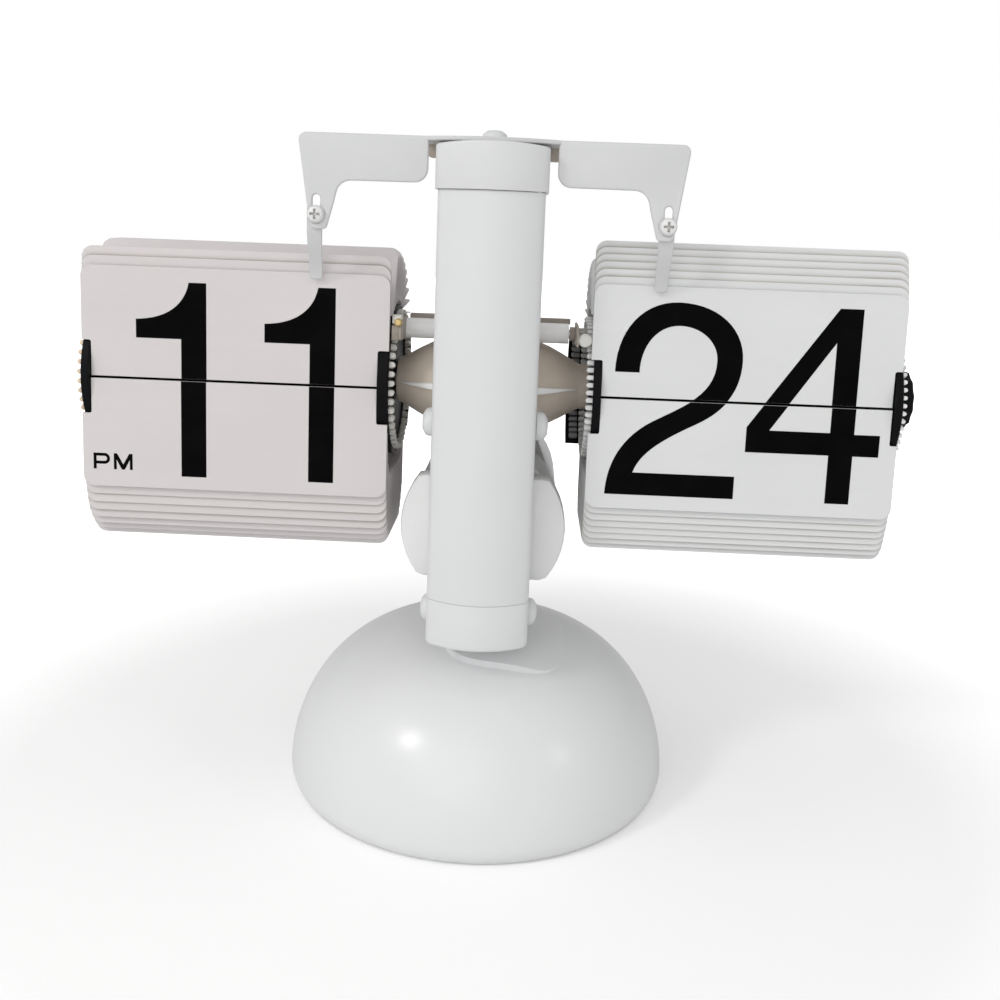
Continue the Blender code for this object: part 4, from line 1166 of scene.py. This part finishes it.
def floor_material():
    """A pale matt floor that fades to white away from the clock."""
    t = Tree("pale_floor")
    t.look("Base Color", t.gain((0.90, 0.90, 0.90), t.spread(t.noise(3.0), 0.99, 1.01)))
    t.look("Roughness", 0.9)
    t.look("Emission Color", (1, 1, 1, 1))
    seen = t.add("ShaderNodeLightPath").outputs["Is Camera Ray"]
    length = t.add("ShaderNodeVectorMath", operation="LENGTH")
    t.links.new(t.coords, length.inputs[0])
    lift = t.spread(length.outputs["Value"], FLOOR_LIFT, 1.0, *FLOOR_FADE)
    t.look("Emission Strength", t.math("MULTIPLY", seen, lift))
    return t.mat


def build_world():
    """A pale room, brighter in front than behind. The camera itself sees plain white."""
    world = bpy.data.worlds.new("studio")
    bpy.context.scene.world = world
    world.use_nodes = True
    nodes, links = world.node_tree.nodes, world.node_tree.links
    sky = nodes["Background"]
    way = nodes.new("ShaderNodeTexCoord")
    split = nodes.new("ShaderNodeSeparateXYZ")
    links.new(way.outputs["Generated"], split.inputs[0])
    lean = nodes.new("ShaderNodeMath")
    lean.operation = "MULTIPLY_ADD"
    lean.inputs[1].default_value = ROOM_LEAN
    links.new(split.outputs["X"], lean.inputs[0])
    links.new(split.outputs["Y"], lean.inputs[2])
    front = nodes.new("ShaderNodeMapRange")
    for key, number in (("From Min", 1.0), ("From Max", -1.0), ("To Min", ROOM_BACK), ("To Max", ROOM_FRONT)):
        front.inputs[key].default_value = number
    links.new(lean.outputs[0], front.inputs["Value"])
    path = nodes.new("ShaderNodeLightPath")
    mix = nodes.new("ShaderNodeMix")
    links.new(path.outputs["Is Camera Ray"], mix.inputs["Factor"])
    links.new(front.outputs["Result"], mix.inputs["A"])
    mix.inputs["B"].default_value = 1.0
    links.new(mix.outputs["Result"], sky.inputs["Strength"])
    sky.inputs["Color"].default_value = (1.0, 1.0, 1.0, 1)


def add_light(name, place, size, power, colour):
    """A round light that points at the middle of the clock."""
    data = bpy.data.lights.new(name, "AREA")
    data.shape = "DISK"
    data.size = size
    data.energy = power
    data.color = colour
    lamp = new_object(name, data)
    lamp.location = place
    lamp.rotation_mode = "QUATERNION"
    lamp.rotation_quaternion = (Vector((0, 0, 0.09)) - Vector(place)).to_track_quat("-Z", "Y")


def build_camera():
    """A close, slightly raised view with a small roll."""
    yaw, pitch, roll = (math.radians(turn) for turn in (1.499, 8.732, 2.145))
    ahead = Vector((-math.sin(yaw) * math.cos(pitch), math.cos(yaw) * math.cos(pitch), -math.sin(pitch)))
    level = Vector((math.cos(yaw), math.sin(yaw), 0))
    upward = level.cross(ahead)
    right = level * math.cos(roll) + upward * math.sin(roll)
    up = -level * math.sin(roll) + upward * math.cos(roll)
    data = bpy.data.cameras.new("camera")
    data.sensor_width = 36.0
    data.lens = 38.6
    data.shift_x, data.shift_y = 0.0014, -0.1025
    data.clip_start, data.clip_end = 0.01, 20
    camera = new_object("camera", data)
    turned = Matrix((right, up, -ahead)).transposed().to_4x4()
    camera.matrix_world = Matrix.Translation(Vector((9.51, -270.99, 141.87)) * MM) @ turned
    bpy.context.scene.camera = camera


# Everything

build_foot()
build_lip()
build_boss()
build_upright()
build_leaves("hour")
build_leaves("minute")
build_print()
build_pivots("hour", "cream", "amber")
build_pivots("minute", "white_tip", "white_tip")
build_guards()
build_rungs()
build_clips()
build_arms()
build_beam()
dress_cad()
build_stage()
build_camera()
